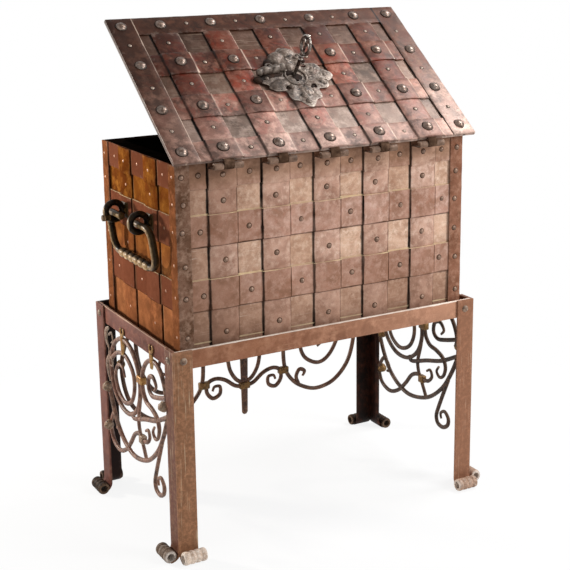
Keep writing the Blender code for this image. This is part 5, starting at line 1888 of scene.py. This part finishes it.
@dataclass
class Lid:
    """Lid with its frame, woven straps, studs and rivets, built closed about its hinge."""

    back: float = 0.0083
    front: float = 0.4933
    half_width: float = 0.4145
    top: float = 0.0115
    frame_side: float = 0.067
    frame_front: float = 0.060
    frame_iron: float = 0.004
    frame_edge: float = 0.0010
    frame_rows: int = 34
    edge: float = 0.0012
    dents: float = 0.0022
    bands: tuple[tuple[str, float, float], ...] = (
        ("back", 0.0083, 0.0683), ("middle", 0.1408, 0.2138), ("front", 0.28705, 0.36005),
    )
    eye_lap: float = 0.0008
    covered: Point2 = (0.09, 0.1)
    covered_middle: float = 0.25
    between: float = 0.07
    astray: float = 0.003
    keyhole_radius: float = 0.007
    keyhole_slot: Point2 = (0.0035, 0.024)
    keyhole_reach: Point2 = (-0.02, 0.03)

    def __post_init__(self) -> None:
        """Levels of the straps over the plate."""
        self.level = self.top + GAP + STRAP_IRON / 2
        self.frame_turn = self.front - self.frame_front
        self.inner_edge = self.half_width - self.frame_side

    def keyhole(self) -> Object:
        """Cutter for the keyhole: a round hole with a slot towards the hinge.

        Returns:
            The cutter.
        """
        low, high = (self.top + reach for reach in self.keyhole_reach)
        half, length = self.keyhole_slot
        cutter = Bench.drum("cutter", self.keyhole_radius, low, high, 20)
        Bench.cut(cutter, [Bench.block("slot", (-half, -length, low), (half, 0.0, high), 0.0003)], "UNION")
        return Bench.place(cutter, at(0.0, KEY_PLACE, 0.0))

    def strap(self, number: int, place: float) -> None:
        """Strap over the lid that ends in the hinge's middle eye.

        Args:
            number: Number of the strap.
            place: Its middle along X.
        """
        start, level = place - HALF_STRAP, self.level
        path = filled([(start, self.frame_turn - GAP, level), (start, self.back + GAP, level)])
        strap = Bench.sheet(f"lid_woven_strap_{number}", path, (STRAP_WIDTH, 0.0, 0.0))
        Bench.beaten(Bench.crown(strap, Axis.X, place, Axis.Z), self.dents, self.edge)
        if abs(place) < HALF_STRAP:
            Bench.cut(strap, [self.keyhole()])
        eye = [(self.back + self.eye_lap, level), *arc((level - EYE_RADIUS, 0.0), level, 90, 180, 9)[:-1]]
        eye += arc((0.0, 0.0), EYE_RADIUS, 180, 390, 16)
        points = [(place - EYE_WIDTH / 2, u, v) for u, v in eye]
        ear = Bench.sheet(f"lid_hinge_eye_{number}", points, (EYE_WIDTH, 0.0, 0.0), 1)
        Bench.thicken(ear, STRAP_IRON, EYE_EDGE)
        for piece, finish in ((strap, LID_STRAP), (ear, HINGE_SHADE_IRON)):
            dress(Bench.place(piece, LID_PLACE), finish, Body.LID, Slot.LID, f"lid_strap_{number}")

    def band(self, name: str, low: float, high: float) -> None:
        """Cross strap woven over the lid's straps.

        Args:
            name: Which band it is.
            low: Its edge towards the hinge.
            high: Its edge towards the front.
        """
        end = self.inner_edge - GAP
        path = woven(LONG_PLACES, -end, end, self.level, self.level + LAYER)
        obj = Bench.sheet(f"lid_cross_band_{name}", filled([(u, low, v) for u, v in path]), (0.0, high - low, 0.0))
        Bench.beaten(obj, self.dents, self.edge)
        dress(Bench.place(obj, LID_PLACE), LID_BAND, Body.LID, Slot.LID, f"lid_band_{name}")

    def edge_frame(self) -> None:
        """Frame round the sides and front, cut out of one sheet."""
        outer, inner, turn = self.half_width, self.inner_edge, self.frame_turn
        level = self.top + GAP + self.frame_iron / 2
        line = [(x, self.back, level) for x in (-outer, -inner, inner, outer)]
        length = self.front - self.back
        obj = Bench.sheet("lid_edge_frame", filled(line), (0.0, length, 0.0), self.frame_rows)
        for vertex in obj.data.vertices:
            if abs(vertex.co.y - turn) < length / self.frame_rows * 0.51:
                vertex.co.y = turn
        Bench.edit(obj, "FACE")
        bpy.ops.mesh.select_all(action="DESELECT")
        bpy.ops.object.mode_set(mode="OBJECT")
        for face in obj.data.polygons:
            face.select = abs(face.center.x) < inner and face.center.y < turn
        bpy.ops.object.mode_set(mode="EDIT")
        bpy.ops.mesh.delete(type="FACE")
        bpy.ops.object.mode_set(mode="OBJECT")
        Bench.beaten(obj, self.dents, self.frame_edge, self.frame_iron)
        dress(Bench.place(obj, LID_PLACE), LID_FRAME, Body.LID, Slot.LID, "lid_frame")

    def heads(self, spots: Sequence[Point3], seed: int) -> list[Matrix]:
        """Placements of heads on the lid, a little off their even places.

        Args:
            spots: The even places.
            seed: Seed of the random draws.

        Returns:
            The placements.
        """
        draw = random.Random(seed)
        places = []
        for x, t, level in spots:
            x += draw.uniform(-self.astray, self.astray)
            t += draw.uniform(-self.astray, self.astray)
            places.append(LID_PLACE @ facing((x, t, level - SUNK), (0, 0, 1), draw.uniform(0, MOST_SPIN)))
        return places

    def fasteners(self) -> None:
        """Large studs on the crossings and the frame, small rivets on the squares between."""
        over, under = self.top + 2 * LAYER + CROWN, self.top + LAYER
        frame_top = self.top + GAP + self.frame_iron
        side, front = self.half_width - self.frame_side / 2, self.front - self.frame_front / 2
        middles = {name: (low + high) / 2 for name, low, high in self.bands}
        studs = [(x, front, frame_top) for x in (-side, *LONG_PLACES, side)]
        studs += [(s * side, t, frame_top) for s in (-1, 1) for t in middles.values()]
        for name, t in middles.items():
            studs += [(x, t, over) for x in LONG_PLACES if name == "back" or abs(x) > self.covered[0]]
        places = self.heads(studs, 3)
        dress(STUD.row(places, "lid_studs"), STUD_STEEL, Body.LID, Slot.LID)
        dress(STUD.shade_rings(places, "lid_stud_rings"), DARK_SHADE, Body.LID, Slot.LID)
        starts = [low for _, low, _ in self.bands[1:]] + [self.frame_turn]
        rows = [(high + start) / 2 for (_, _, high), start in zip(self.bands, starts)]
        between = [x + self.between for x in LONG_PLACES[:-1]]
        small = [
            (x, t, under + CROWN) for x in LONG_PLACES for t in rows
            if abs(x) > self.covered[0] or abs(t - self.covered_middle) > self.covered[1]
        ]
        small += [(x, t, under) for x in between for t in middles.values()]
        small += [(s * side, t, frame_top) for s in (-1, 1) for t in rows]
        small += [(x, front, frame_top) for x in between]
        places = self.heads(small, 5)
        dress(SMALL_RIVET.row(places, "lid_rivets"), LID_RIVET, Body.LID, Slot.LID)
        dress(SMALL_RIVET.shade_rings(places, "lid_rivet_rings"), DARK_SHADE, Body.LID, Slot.LID)

    def build(self) -> None:
        """Build everything on the lid's upper side."""
        for number, place in enumerate(LONG_PLACES, 1):
            self.strap(number, place)
        for name, low, high in self.bands:
            self.band(name, low, high)
        self.edge_frame()
        self.fasteners()
        keep(LID_PLATE, "lid_plate")


@dataclass(frozen=True)
class Dome:
    """Beaten dome on the escutcheon, set from the key; long is its length over its width, spin a turn in degrees."""

    x: float
    t: float
    radius: float
    height: float = 0.0052
    long: float = 1.0
    spin: float = 0.0


RAISED_DOMES = (
    Dome(-0.026, 0.060, 0.020, 0.011, 1.25, 30), Dome(0.010, 0.074, 0.020, 0.010, 1.2, -25),
    Dome(-0.004, 0.024, 0.014, 0.010, 1.1, 0), Dome(-0.055, -0.030, 0.016, 0.005, 1.9, 20),
    Dome(-0.028, -0.043, 0.0075, 0.008), Dome(0.060, 0.010, 0.017, 0.0045, 1.3, 70),
    Dome(0.064, -0.030, 0.010, 0.006, 1.6, -40), Dome(-0.006, -0.074, 0.009, 0.007),
    Dome(0.012, -0.060, 0.015, 0.005, 1.4, 80), Dome(-0.002, -0.095, 0.008, 0.006),
)
# Dark domes beside the raised work: painted shade in its hollows
SHADOW_DOMES = (
    Dome(-0.054, 0.046, 0.012, long=1.2, spin=40), Dome(-0.068, -0.002, 0.010, long=3.6, spin=8),
    Dome(-0.104, -0.010, 0.011, long=1.2), Dome(-0.014, 0.006, 0.008, long=1.8, spin=10),
    Dome(0.030, -0.048, 0.006, long=1.3, spin=30), Dome(0.044, 0.044, 0.005, long=1.6, spin=60),
)
COVER_ROLL = ((-0.104, 0.004), (-0.086, 0.012), (-0.062, 0.014), (-0.040, 0.018), (-0.024, 0.021))
COVER_TIP = (0.0030, 0.0062, 0.0085)
PLATE_CURLS = (((-0.060, 0.030), 0.011), ((0.032, 0.060), 0.010), ((0.070, -0.034), 0.009))
BOW_CURL = ((0.001, -0.022), (0.010, -0.016), (0.015, -0.003), (0.011, 0.008), (0.005, 0.006), (0.006, 0.000))


@dataclass
class Lock:
    """Embossed escutcheon and key above the lid, and the works below it."""

    shift: float = -0.008
    low: float = 0.0184
    iron: float = 0.0025
    radius: float = 0.086
    lobe: float = 0.014
    frill: float = 0.006
    sides: int = 144
    insets: int = 15
    inset_share: float = 0.94
    relief: float = 0.0032
    ring_radius: float = 0.031
    ring_wall: float = 0.0055
    ring_lift: float = 0.0012
    ring_round: float = 0.0030
    root: float = 0.001
    piercing: float = 0.008
    rivet_share: float = 0.94
    mouth: float = 0.011
    mouth_place: Point2 = (0.005, -0.009)
    mouth_long: float = 1.25
    bow_height: float = 0.095
    bow_half: Point2 = (0.021, 0.025)
    bow_wire: float = 0.0035
    spine: float = 0.056
    spine_wire: float = 0.0028
    shank: float = 0.0045
    bead: float = 0.003
    bead_length: float = 0.006
    foot: float = -0.0269
    bit_rise: float = 0.009
    bit: Point3 = (0.0025, 0.017, 0.016)

    def __post_init__(self) -> None:
        """Level of the plate's upper face and the plate's middle."""
        self.surface = self.low + self.iron
        self.middle = KEY_PLACE + self.shift

    def outline(self, angle: float) -> float:
        """Radius of the plate's lobed edge."""
        return self.radius + self.lobe * math.cos(4 * angle) + self.frill * math.cos(12 * angle)

    def embossed(self, share: float, angle: float) -> float:
        """Height of the embossed leaves at a share of the radius.

        Args:
            share: Place between the middle, 0, and the edge, 1.
            angle: Direction about the middle.

        Returns:
            The height over the flat plate.
        """
        leaf = 0.5 + 0.5 * math.cos(12 * angle)
        body = math.sin(math.pi * min(1.0, max(0.0, (share - 0.30) / 0.66))) ** 0.8
        vein = 0.35 * math.cos(24 * angle) * math.sin(math.pi * share)
        lip = 0.30 * max(0.0, 1 - abs(share - 0.95) / 0.05)
        return self.relief * max(0.0, body * (0.35 + 0.65 * leaf + 0.2 * vein) + lip)

    def plate(self) -> Object:
        """Lobed plate: a disc inset ring by ring, drawn to its outline, embossed and pierced.

        Returns:
            The plate.
        """
        Bench.clear()
        bpy.ops.mesh.primitive_circle_add(vertices=self.sides, radius=1.0, fill_type="NGON")
        obj = Bench.added("plate")
        Bench.edit(obj, "FACE")
        for _ in range(self.insets):
            bpy.ops.mesh.inset(thickness=self.inset_share / self.insets)
        bpy.ops.object.mode_set(mode="OBJECT")
        for vertex in obj.data.vertices:
            share = vertex.co.to_2d().length
            angle = math.atan2(vertex.co.y, vertex.co.x)
            reach = self.radius * share + (self.outline(angle) - self.radius) * share**3
            height = self.surface + self.embossed(share, angle)
            vertex.co = (reach * math.cos(angle), reach * math.sin(angle), height)
        Bench.close(Bench.modify(obj, "SOLIDIFY", thickness=self.iron, offset=-1.0))
        Bench.place(obj, at(0.0, self.middle, 0.0))
        return Bench.soften(Bench.cut(obj, self.cutters()))

    def around(self, reach: float, first: float, level: float = 0.0) -> list[Point3]:
        """Four places about the plate's middle, a quarter turn apart, the first in a direction in degrees."""
        return [(x, y, level) for x, y in arc((0.0, self.middle), reach, first, first + 270, 3)]

    def cutters(self) -> list[Object]:
        """Cutters for the keyhole and the pierced petals.

        Returns:
            The cutters.
        """
        low, high = self.low - 0.01, self.low + 0.02
        out = (self.ring_radius + self.radius - self.lobe) / 2
        made = [Lid().keyhole()]
        for place in self.around(out, 45):
            made.append(Bench.place(Bench.drum("petal", self.piercing, low, high, 20), at(*place)))
        return made

    def collar(self) -> Object:
        """Raised ring round the keyhole.

        Returns:
            The ring.
        """
        outer, inner = self.ring_radius, self.ring_radius - self.ring_wall
        low = self.surface - self.root
        crest = arc(((inner + outer) / 2, self.surface + self.ring_lift), self.ring_round, 200, -20, 8)
        ring = Bench.turned("ring", [(inner, low), *crest, (outer, low), (inner, low)], 40)
        return Bench.place(ring, at(0.0, self.middle, 0.0))

    def dome(self, dome: Dome) -> Object:
        """Beaten dome on the plate.

        Args:
            dome: Its sizes and place.

        Returns:
            The dome.
        """
        profile = [(0.0, -0.002), (dome.radius, -0.002)]
        profile += [(dome.radius * math.cos(a), dome.height * math.sin(a)) for a in (0.1, 0.4, 0.7, 1.0, 1.3)]
        form = Bench.turned("dome", [*profile, (0.0, dome.height)], 28)
        turn = turned_by(dome.spin, "Z") @ scaled(dome.long, 1.0, 1.0)
        return Bench.hammer(Bench.place(form, at(dome.x, KEY_PLACE + dome.t, self.surface) @ turn), 0.0035, 0.009)

    def on_plate(self, points: Sequence[Point2], lift: float) -> list[Point3]:
        """Points about the key, lifted over the plate."""
        return [(x, KEY_PLACE + t, self.surface + lift) for x, t in points]

    def raised_work(self) -> list[Object]:
        """Leaves, rolled cover and bosses that stand high on the plate.

        Returns:
            The forms.
        """
        forms = [self.dome(dome) for dome in RAISED_DOMES]
        path = self.on_plate(smooth(COVER_ROLL, 6), 0.007)
        waves = [abs(math.sin(1.2 + 3.4 * math.pi * s)) for s in along_path(len(path) - 1)]
        radii = [*COVER_TIP, *[0.0085 + 0.0030 * wave for wave in waves[len(COVER_TIP):]]]
        forms.append(Bench.hammer(Bench.bar("roll", path, radii), 0.0025, 0.010))
        for (x, t), radius in PLATE_CURLS:
            turns = [(radius * (1 - i * 0.45 / 9), i * 0.45) for i in range(17)]
            path = self.on_plate([(x + r * math.cos(a), t + r * math.sin(a)) for r, a in turns], 0.003)
            forms.append(Bench.bar("curl", path, [0.0030] * len(path)))
        return forms

    def hollows(self) -> list[Object]:
        """Dark pieces in the hollows of the raised work and in the keyhole's mouth: painted shade.

        Returns:
            The forms.
        """
        x, t = self.mouth_place
        wide = at(x, KEY_PLACE + t, self.surface) @ scaled(self.mouth_long, 1.0, 1.0)
        # The mouth is a dark disc in the keyhole ring: painted shade of the keyhole
        mouth = Bench.drum("mouth", self.mouth, -self.root, 0.0002, 24)
        return [*[self.dome(dome) for dome in SHADOW_DOMES], Bench.place(mouth, wide)]

    def escutcheon(self) -> None:
        """Plate with its collar, rivets and raised work, and the painted shade in its hollows."""
        heads = [facing(p, (0, 0, 1)) for p in self.around(self.radius * self.rivet_share, 0, self.surface + self.root)]
        forms = [self.plate(), self.collar(), PLATE_RIVET.row(heads, "plate_rivets"), *self.raised_work()]
        for made, name, finish in (
            (forms, "embossed_escutcheon", LOCK_STEEL), (self.hollows(), "escutcheon_shade_hollows", DARK_SHADE)
        ):
            piece = Bench.place(Bench.join(made, name), LID_PLACE)
            dress(piece, finish, Body.LID, Slot.LOCK, "escutcheon")

    def key(self) -> None:
        """Key with a moulded shank, a looped bow and its bit inside the lock."""
        bow = self.surface + self.bow_height
        half_w, half_h = self.bow_half
        neck = bow - half_h
        r = self.shank
        profile = [(0.0, neck + 0.003), (r, neck + 0.003), (r, neck - 0.002)]
        for top in (neck - 0.003, neck - 0.013):
            profile += [(r + self.bead * math.sin(math.pi * s), top - self.bead_length * s) for s in along_path(6)]
        profile += [(r, neck - 0.022), (r, self.foot + self.root), (r - self.root, self.foot), (0.0, self.foot)]
        loop = [(0.0, u * half_w, bow + v * half_h) for u, v in arc((0.0, 0.0), 1.0, 0, 360, 40)[:-1]]
        spine = [(0.0, 0.0, neck + self.spine * s) for s in along_path(8)]
        forms = [
            Bench.turned("shank", profile, 20), Bench.bar("bow", loop, [self.bow_wire] * len(loop), closed=True),
            Bench.bar("spine", spine, [self.spine_wire] * len(spine)),
        ]
        for side in (-1, 1):
            path = [(0.0, u, bow + v) for u, v in smooth([(side * u, v) for u, v in BOW_CURL], 6)]
            forms.append(Bench.bar("curl", path, [0.0022 - 0.0008 * i / len(path) for i in range(len(path))]))
        half, length, height = self.bit
        low = self.foot + self.bit_rise
        forms.append(Bench.block("bit", (-half, -length, low), (half, 0.0, low + height), 0.0006))
        piece = Bench.place(Bench.join(forms, "lock_key"), LID_PLACE @ at(0.0, KEY_PLACE, 0.0))
        dress(piece, KEY_STEEL, Body.KEY, Slot.LOCK, "key")

    def build(self) -> None:
        """Build the lock."""
        self.escutcheon()
        self.key()
        keep(INNER_SHADE_IRON, "lock_plate", "lock_case")
        keep(BOLT_STEEL, "front_bolt", "left_bolt", "right_bolt")


@dataclass
class Handles:
    """Bail handles with ribbed grips, hung in ring staples."""

    axis_x: float = 0.4308
    axis_z: float = 0.7911
    drop: float = 0.100
    arm: float = 0.131
    shift: float = -0.016
    hang: float = 8.0
    elbow: float = 0.028
    corner: float = 0.034
    tip: float = 0.0445
    bar: float = 0.0085
    swell: float = 0.10
    tip_radius: float = 0.0095
    grip: float = 0.089
    ribs: int = 6
    rib: float = 0.0128
    waist: float = 0.0092
    ring: float = 0.0215
    wire: float = 0.008
    lift: float = 0.0042
    wall: float = 0.0308
    washer: float = 0.038
    washer_iron: float = 0.0033
    spur_root: Point3 = (-0.013, -0.004, -0.014)
    spur_length: float = 0.020
    spur_radii: tuple[float, ...] = (0.0074, 0.0078, 0.0078, 0.0082, 0.0076)

    def bail_form(self) -> Object:
        """Bail about its axis, hanging down, its tips turned in through the staples.

        Returns:
            The bail.
        """
        tip = self.tip
        half = [(tip, 0.0, self.bar * 0.8), (tip + 0.002, 0.0, self.tip_radius), (tip + 0.010, 0.0, self.bar)]
        bends = arc((self.arm - self.elbow, -self.elbow), self.elbow, 90, 0, 12)
        bends += arc((self.arm - self.corner, self.corner - self.drop), self.corner, 0, -90, 12)
        for s, (u, v) in zip(along_path(len(bends) - 1), bends):
            half.append((u, v, self.bar * (1.0 + self.swell * math.sin(math.pi * s))))
        steps = 8 * self.ribs
        for i in range(steps):
            swell = abs(math.sin(math.pi * i / 16)) ** 0.7
            half.append((self.grip * (1 - i / steps), -self.drop, self.waist + (self.rib - self.waist) * swell))
        whole = half + [(-u, v, r) for u, v, r in reversed(half)]
        return Bench.bar("bail", [(0.0, self.shift + u, v) for u, v, _ in whole], [r for _, _, r in whole])

    def spur_form(self) -> Object:
        """Blunt peg that stands out of the far staple's ring, away from the wall.

        Returns:
            The peg.
        """
        x, y, z = self.spur_root
        shares = along_path(len(self.spur_radii) - 1)
        return Bench.bar("spur", [(x - self.spur_length * s, y, self.lift + z) for s in shares], self.spur_radii)

    def staple_form(self) -> Object:
        """Ring staple with its shank and washer, about the bail's axis, the wall on its +X side.

        Returns:
            The staple.
        """
        Bench.clear()
        bpy.ops.mesh.primitive_torus_add(
            major_radius=self.ring, minor_radius=self.wire, major_segments=40, minor_segments=16,
            location=(0.0, 0.0, self.lift), rotation=(math.pi / 2, 0.0, 0.0),
        )
        ring = Bench.added("ring")
        bpy.ops.object.transform_apply(location=True, rotation=True, scale=True)
        Bench.soften(Bench.hammer(ring, 0.0008, 0.012))
        shank = Bench.drum("shank", self.wire, self.ring, self.wall - GAP, 18)
        Bench.place(shank, at(0.0, 0.0, self.lift) @ turned_by(90, "Y"))
        half = self.washer / 2
        low = (self.wall - self.washer_iron, -half, self.lift - half)
        high = (self.wall - GAP, half, self.lift + half)
        return Bench.join([ring, shank, Bench.block("washer", low, high, 0.0009)], "staple")

    def build(self) -> None:
        """Build both handles."""
        bail, staple = self.bail_form(), self.staple_form()
        pegged = Bench.join([self.staple_form(), self.spur_form()], "pegged_staple")
        for (side, way), body in zip(SIDES.items(), (Body.LEFT_BAIL, Body.RIGHT_BAIL)):
            axis = at(way * self.axis_x, 0.0, self.axis_z)
            piece = Bench.instance(bail, f"{side}_bail_bar", axis @ turned_by(way * self.hang, "Y"))
            dress(piece, GRIP_IRON, body, Slot.HANDLE, f"{side}_bail")
            turn = turned_by(180 if way > 0 else 0, "Z")
            for end, place, form in zip(("back", "front"), SHORT_PLACES, (staple, pegged)):
                piece = Bench.instance(form, f"{side}_ring_staple_{end}", axis @ at(0.0, place, 0.0) @ turn)
                dress(piece, HANDLE_IRON, Body.CHEST, Slot.HANDLE, f"{side}_staple_{end}")
        for form in (bail, staple, pegged):
            bpy.data.objects.remove(form)


# Studio


@dataclass(frozen=True)
class Lamp:
    """Soft square lamp aimed at the chest."""

    name: str
    place: Point3
    power: float
    size: float
    colour: Point3 = (1.0, 1.0, 1.0)
    target: Point3 = (0.0, 0.0, 0.75)

    def build(self) -> None:
        """Hang the lamp in its place."""
        data = bpy.data.lights.new(self.name, "AREA")
        data.energy, data.size, data.color = self.power, self.size, self.colour
        lamp = bpy.data.objects.new(self.name, data)
        bpy.context.scene.collection.objects.link(lamp)
        lamp.matrix_world = facing(self.place, tuple(Vector(self.place) - Vector(self.target)))


@dataclass
class Studio:
    """Pale floor, soft lamps and the camera."""

    eye: Point3 = (-1.5076, -2.7406, 1.4481)
    yaw: float = 28.9
    pitch: float = 13.21
    roll: float = -0.72
    lens: float = 78.55
    sensor: float = 36.0
    shift_y: float = -0.10
    clip: Point2 = (0.05, 200.0)
    ambient: float = 0.38
    floor_radius: float = 90.0
    floor_tone: float = 0.86
    shadow_reach: Point2 = (0.45, 1.3)
    shadow_share: float = 0.86
    white: Colour = (1.0, 1.0, 1.0, 1.0)
    lamps: tuple[Lamp, ...] = (
        Lamp("front_lamp", (2.4, -2.8, 2.4), 100.0, 1.4),
        Lamp("right_lamp", (2.0, -0.10, 3.1), 66.0, 0.9),
        Lamp("left_lamp", (-1.75, 1.65, 1.05), 54.0, 0.2, (1.0, 0.93, 0.84)),
    )

    def camera(self) -> None:
        """Camera at the photograph's viewing angle."""
        data = bpy.data.cameras.new("camera")
        data.lens, data.sensor_width, data.shift_y = self.lens, self.sensor, self.shift_y
        data.clip_start, data.clip_end = self.clip
        camera = bpy.data.objects.new("camera", data)
        bpy.context.scene.collection.objects.link(camera)
        turn = turned_by(-self.yaw, "Z") @ turned_by(90 - self.pitch, "X")
        camera.matrix_world = at(*self.eye) @ turn @ turned_by(self.roll, "Z")
        bpy.context.scene.camera = camera

    def seen(self, wire: Wiring) -> NodeSocket:
        """1 for what the camera, a reflection or a clear piece sees, and 0 for light.

        Args:
            wire: Wiring of the floor's material or of the world.

        Returns:
            The value.
        """
        rays = wire.add("ShaderNodeLightPath").outputs
        seen = wire.math("MAXIMUM", rays["Is Camera Ray"], rays["Is Glossy Ray"])
        return wire.math("MAXIMUM", seen, rays["Is Transmission Ray"])

    def floor(self) -> None:
        """Wide pale floor that keeps the shadow near the stand."""
        Bench.clear()
        bpy.ops.mesh.primitive_circle_add(vertices=64, radius=self.floor_radius, fill_type="NGON")
        floor = Bench.added("floor")
        material = bpy.data.materials.new("pale_floor")
        material.use_nodes = True
        wire = Wiring(material.node_tree)
        place = wire.add("ShaderNodeTexCoord").outputs["Object"]
        away = wire.add("ShaderNodeVectorMath", {0: place}, operation="LENGTH").outputs["Value"]
        share = wire.times(wire.ramp(away, *self.shadow_reach, self.shadow_share, 1.0), self.seen(wire))
        matt = wire.add("ShaderNodeBsdfDiffuse", {"Color": (*[self.floor_tone] * 3, 1.0)})
        white = wire.add("ShaderNodeEmission", {"Color": self.white, "Strength": 1.0})
        mixed = wire.add("ShaderNodeMixShader", {0: share, 1: matt.outputs[0], 2: white.outputs[0]})
        wire.add("ShaderNodeOutputMaterial", {0: mixed.outputs[0]})
        floor.data.materials.append(material)

    def world(self) -> None:
        """White surroundings that light the object softly."""
        world = bpy.data.worlds.new("studio")
        world.use_nodes = True
        wire = Wiring(world.node_tree)
        strength = wire.ramp(self.seen(wire), 0.0, 1.0, self.ambient, 1.0)
        sky = wire.add("ShaderNodeBackground", {"Color": self.white, "Strength": strength})
        wire.add("ShaderNodeOutputWorld", {0: sky.outputs[0]})
        bpy.context.scene.world = world

    def build(self) -> None:
        """Set up the whole studio."""
        bpy.context.scene.view_settings.view_transform = "Standard"
        self.world()
        self.floor()
        for lamp in self.lamps:
            lamp.build()
        self.camera()


def main() -> None:
    """Build the object and its studio."""
    logging.basicConfig(level=logging.INFO, format="%(name)s %(message)s")
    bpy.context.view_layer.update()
    for assembly in (Stand(), Scrollwork(), Chest(), Lid(), Lock(), Handles(), Studio()):
        log.info("building %s", type(assembly).__name__)
        assembly.build()
    Bench.clear()


if __name__ == "__main__":
    main()
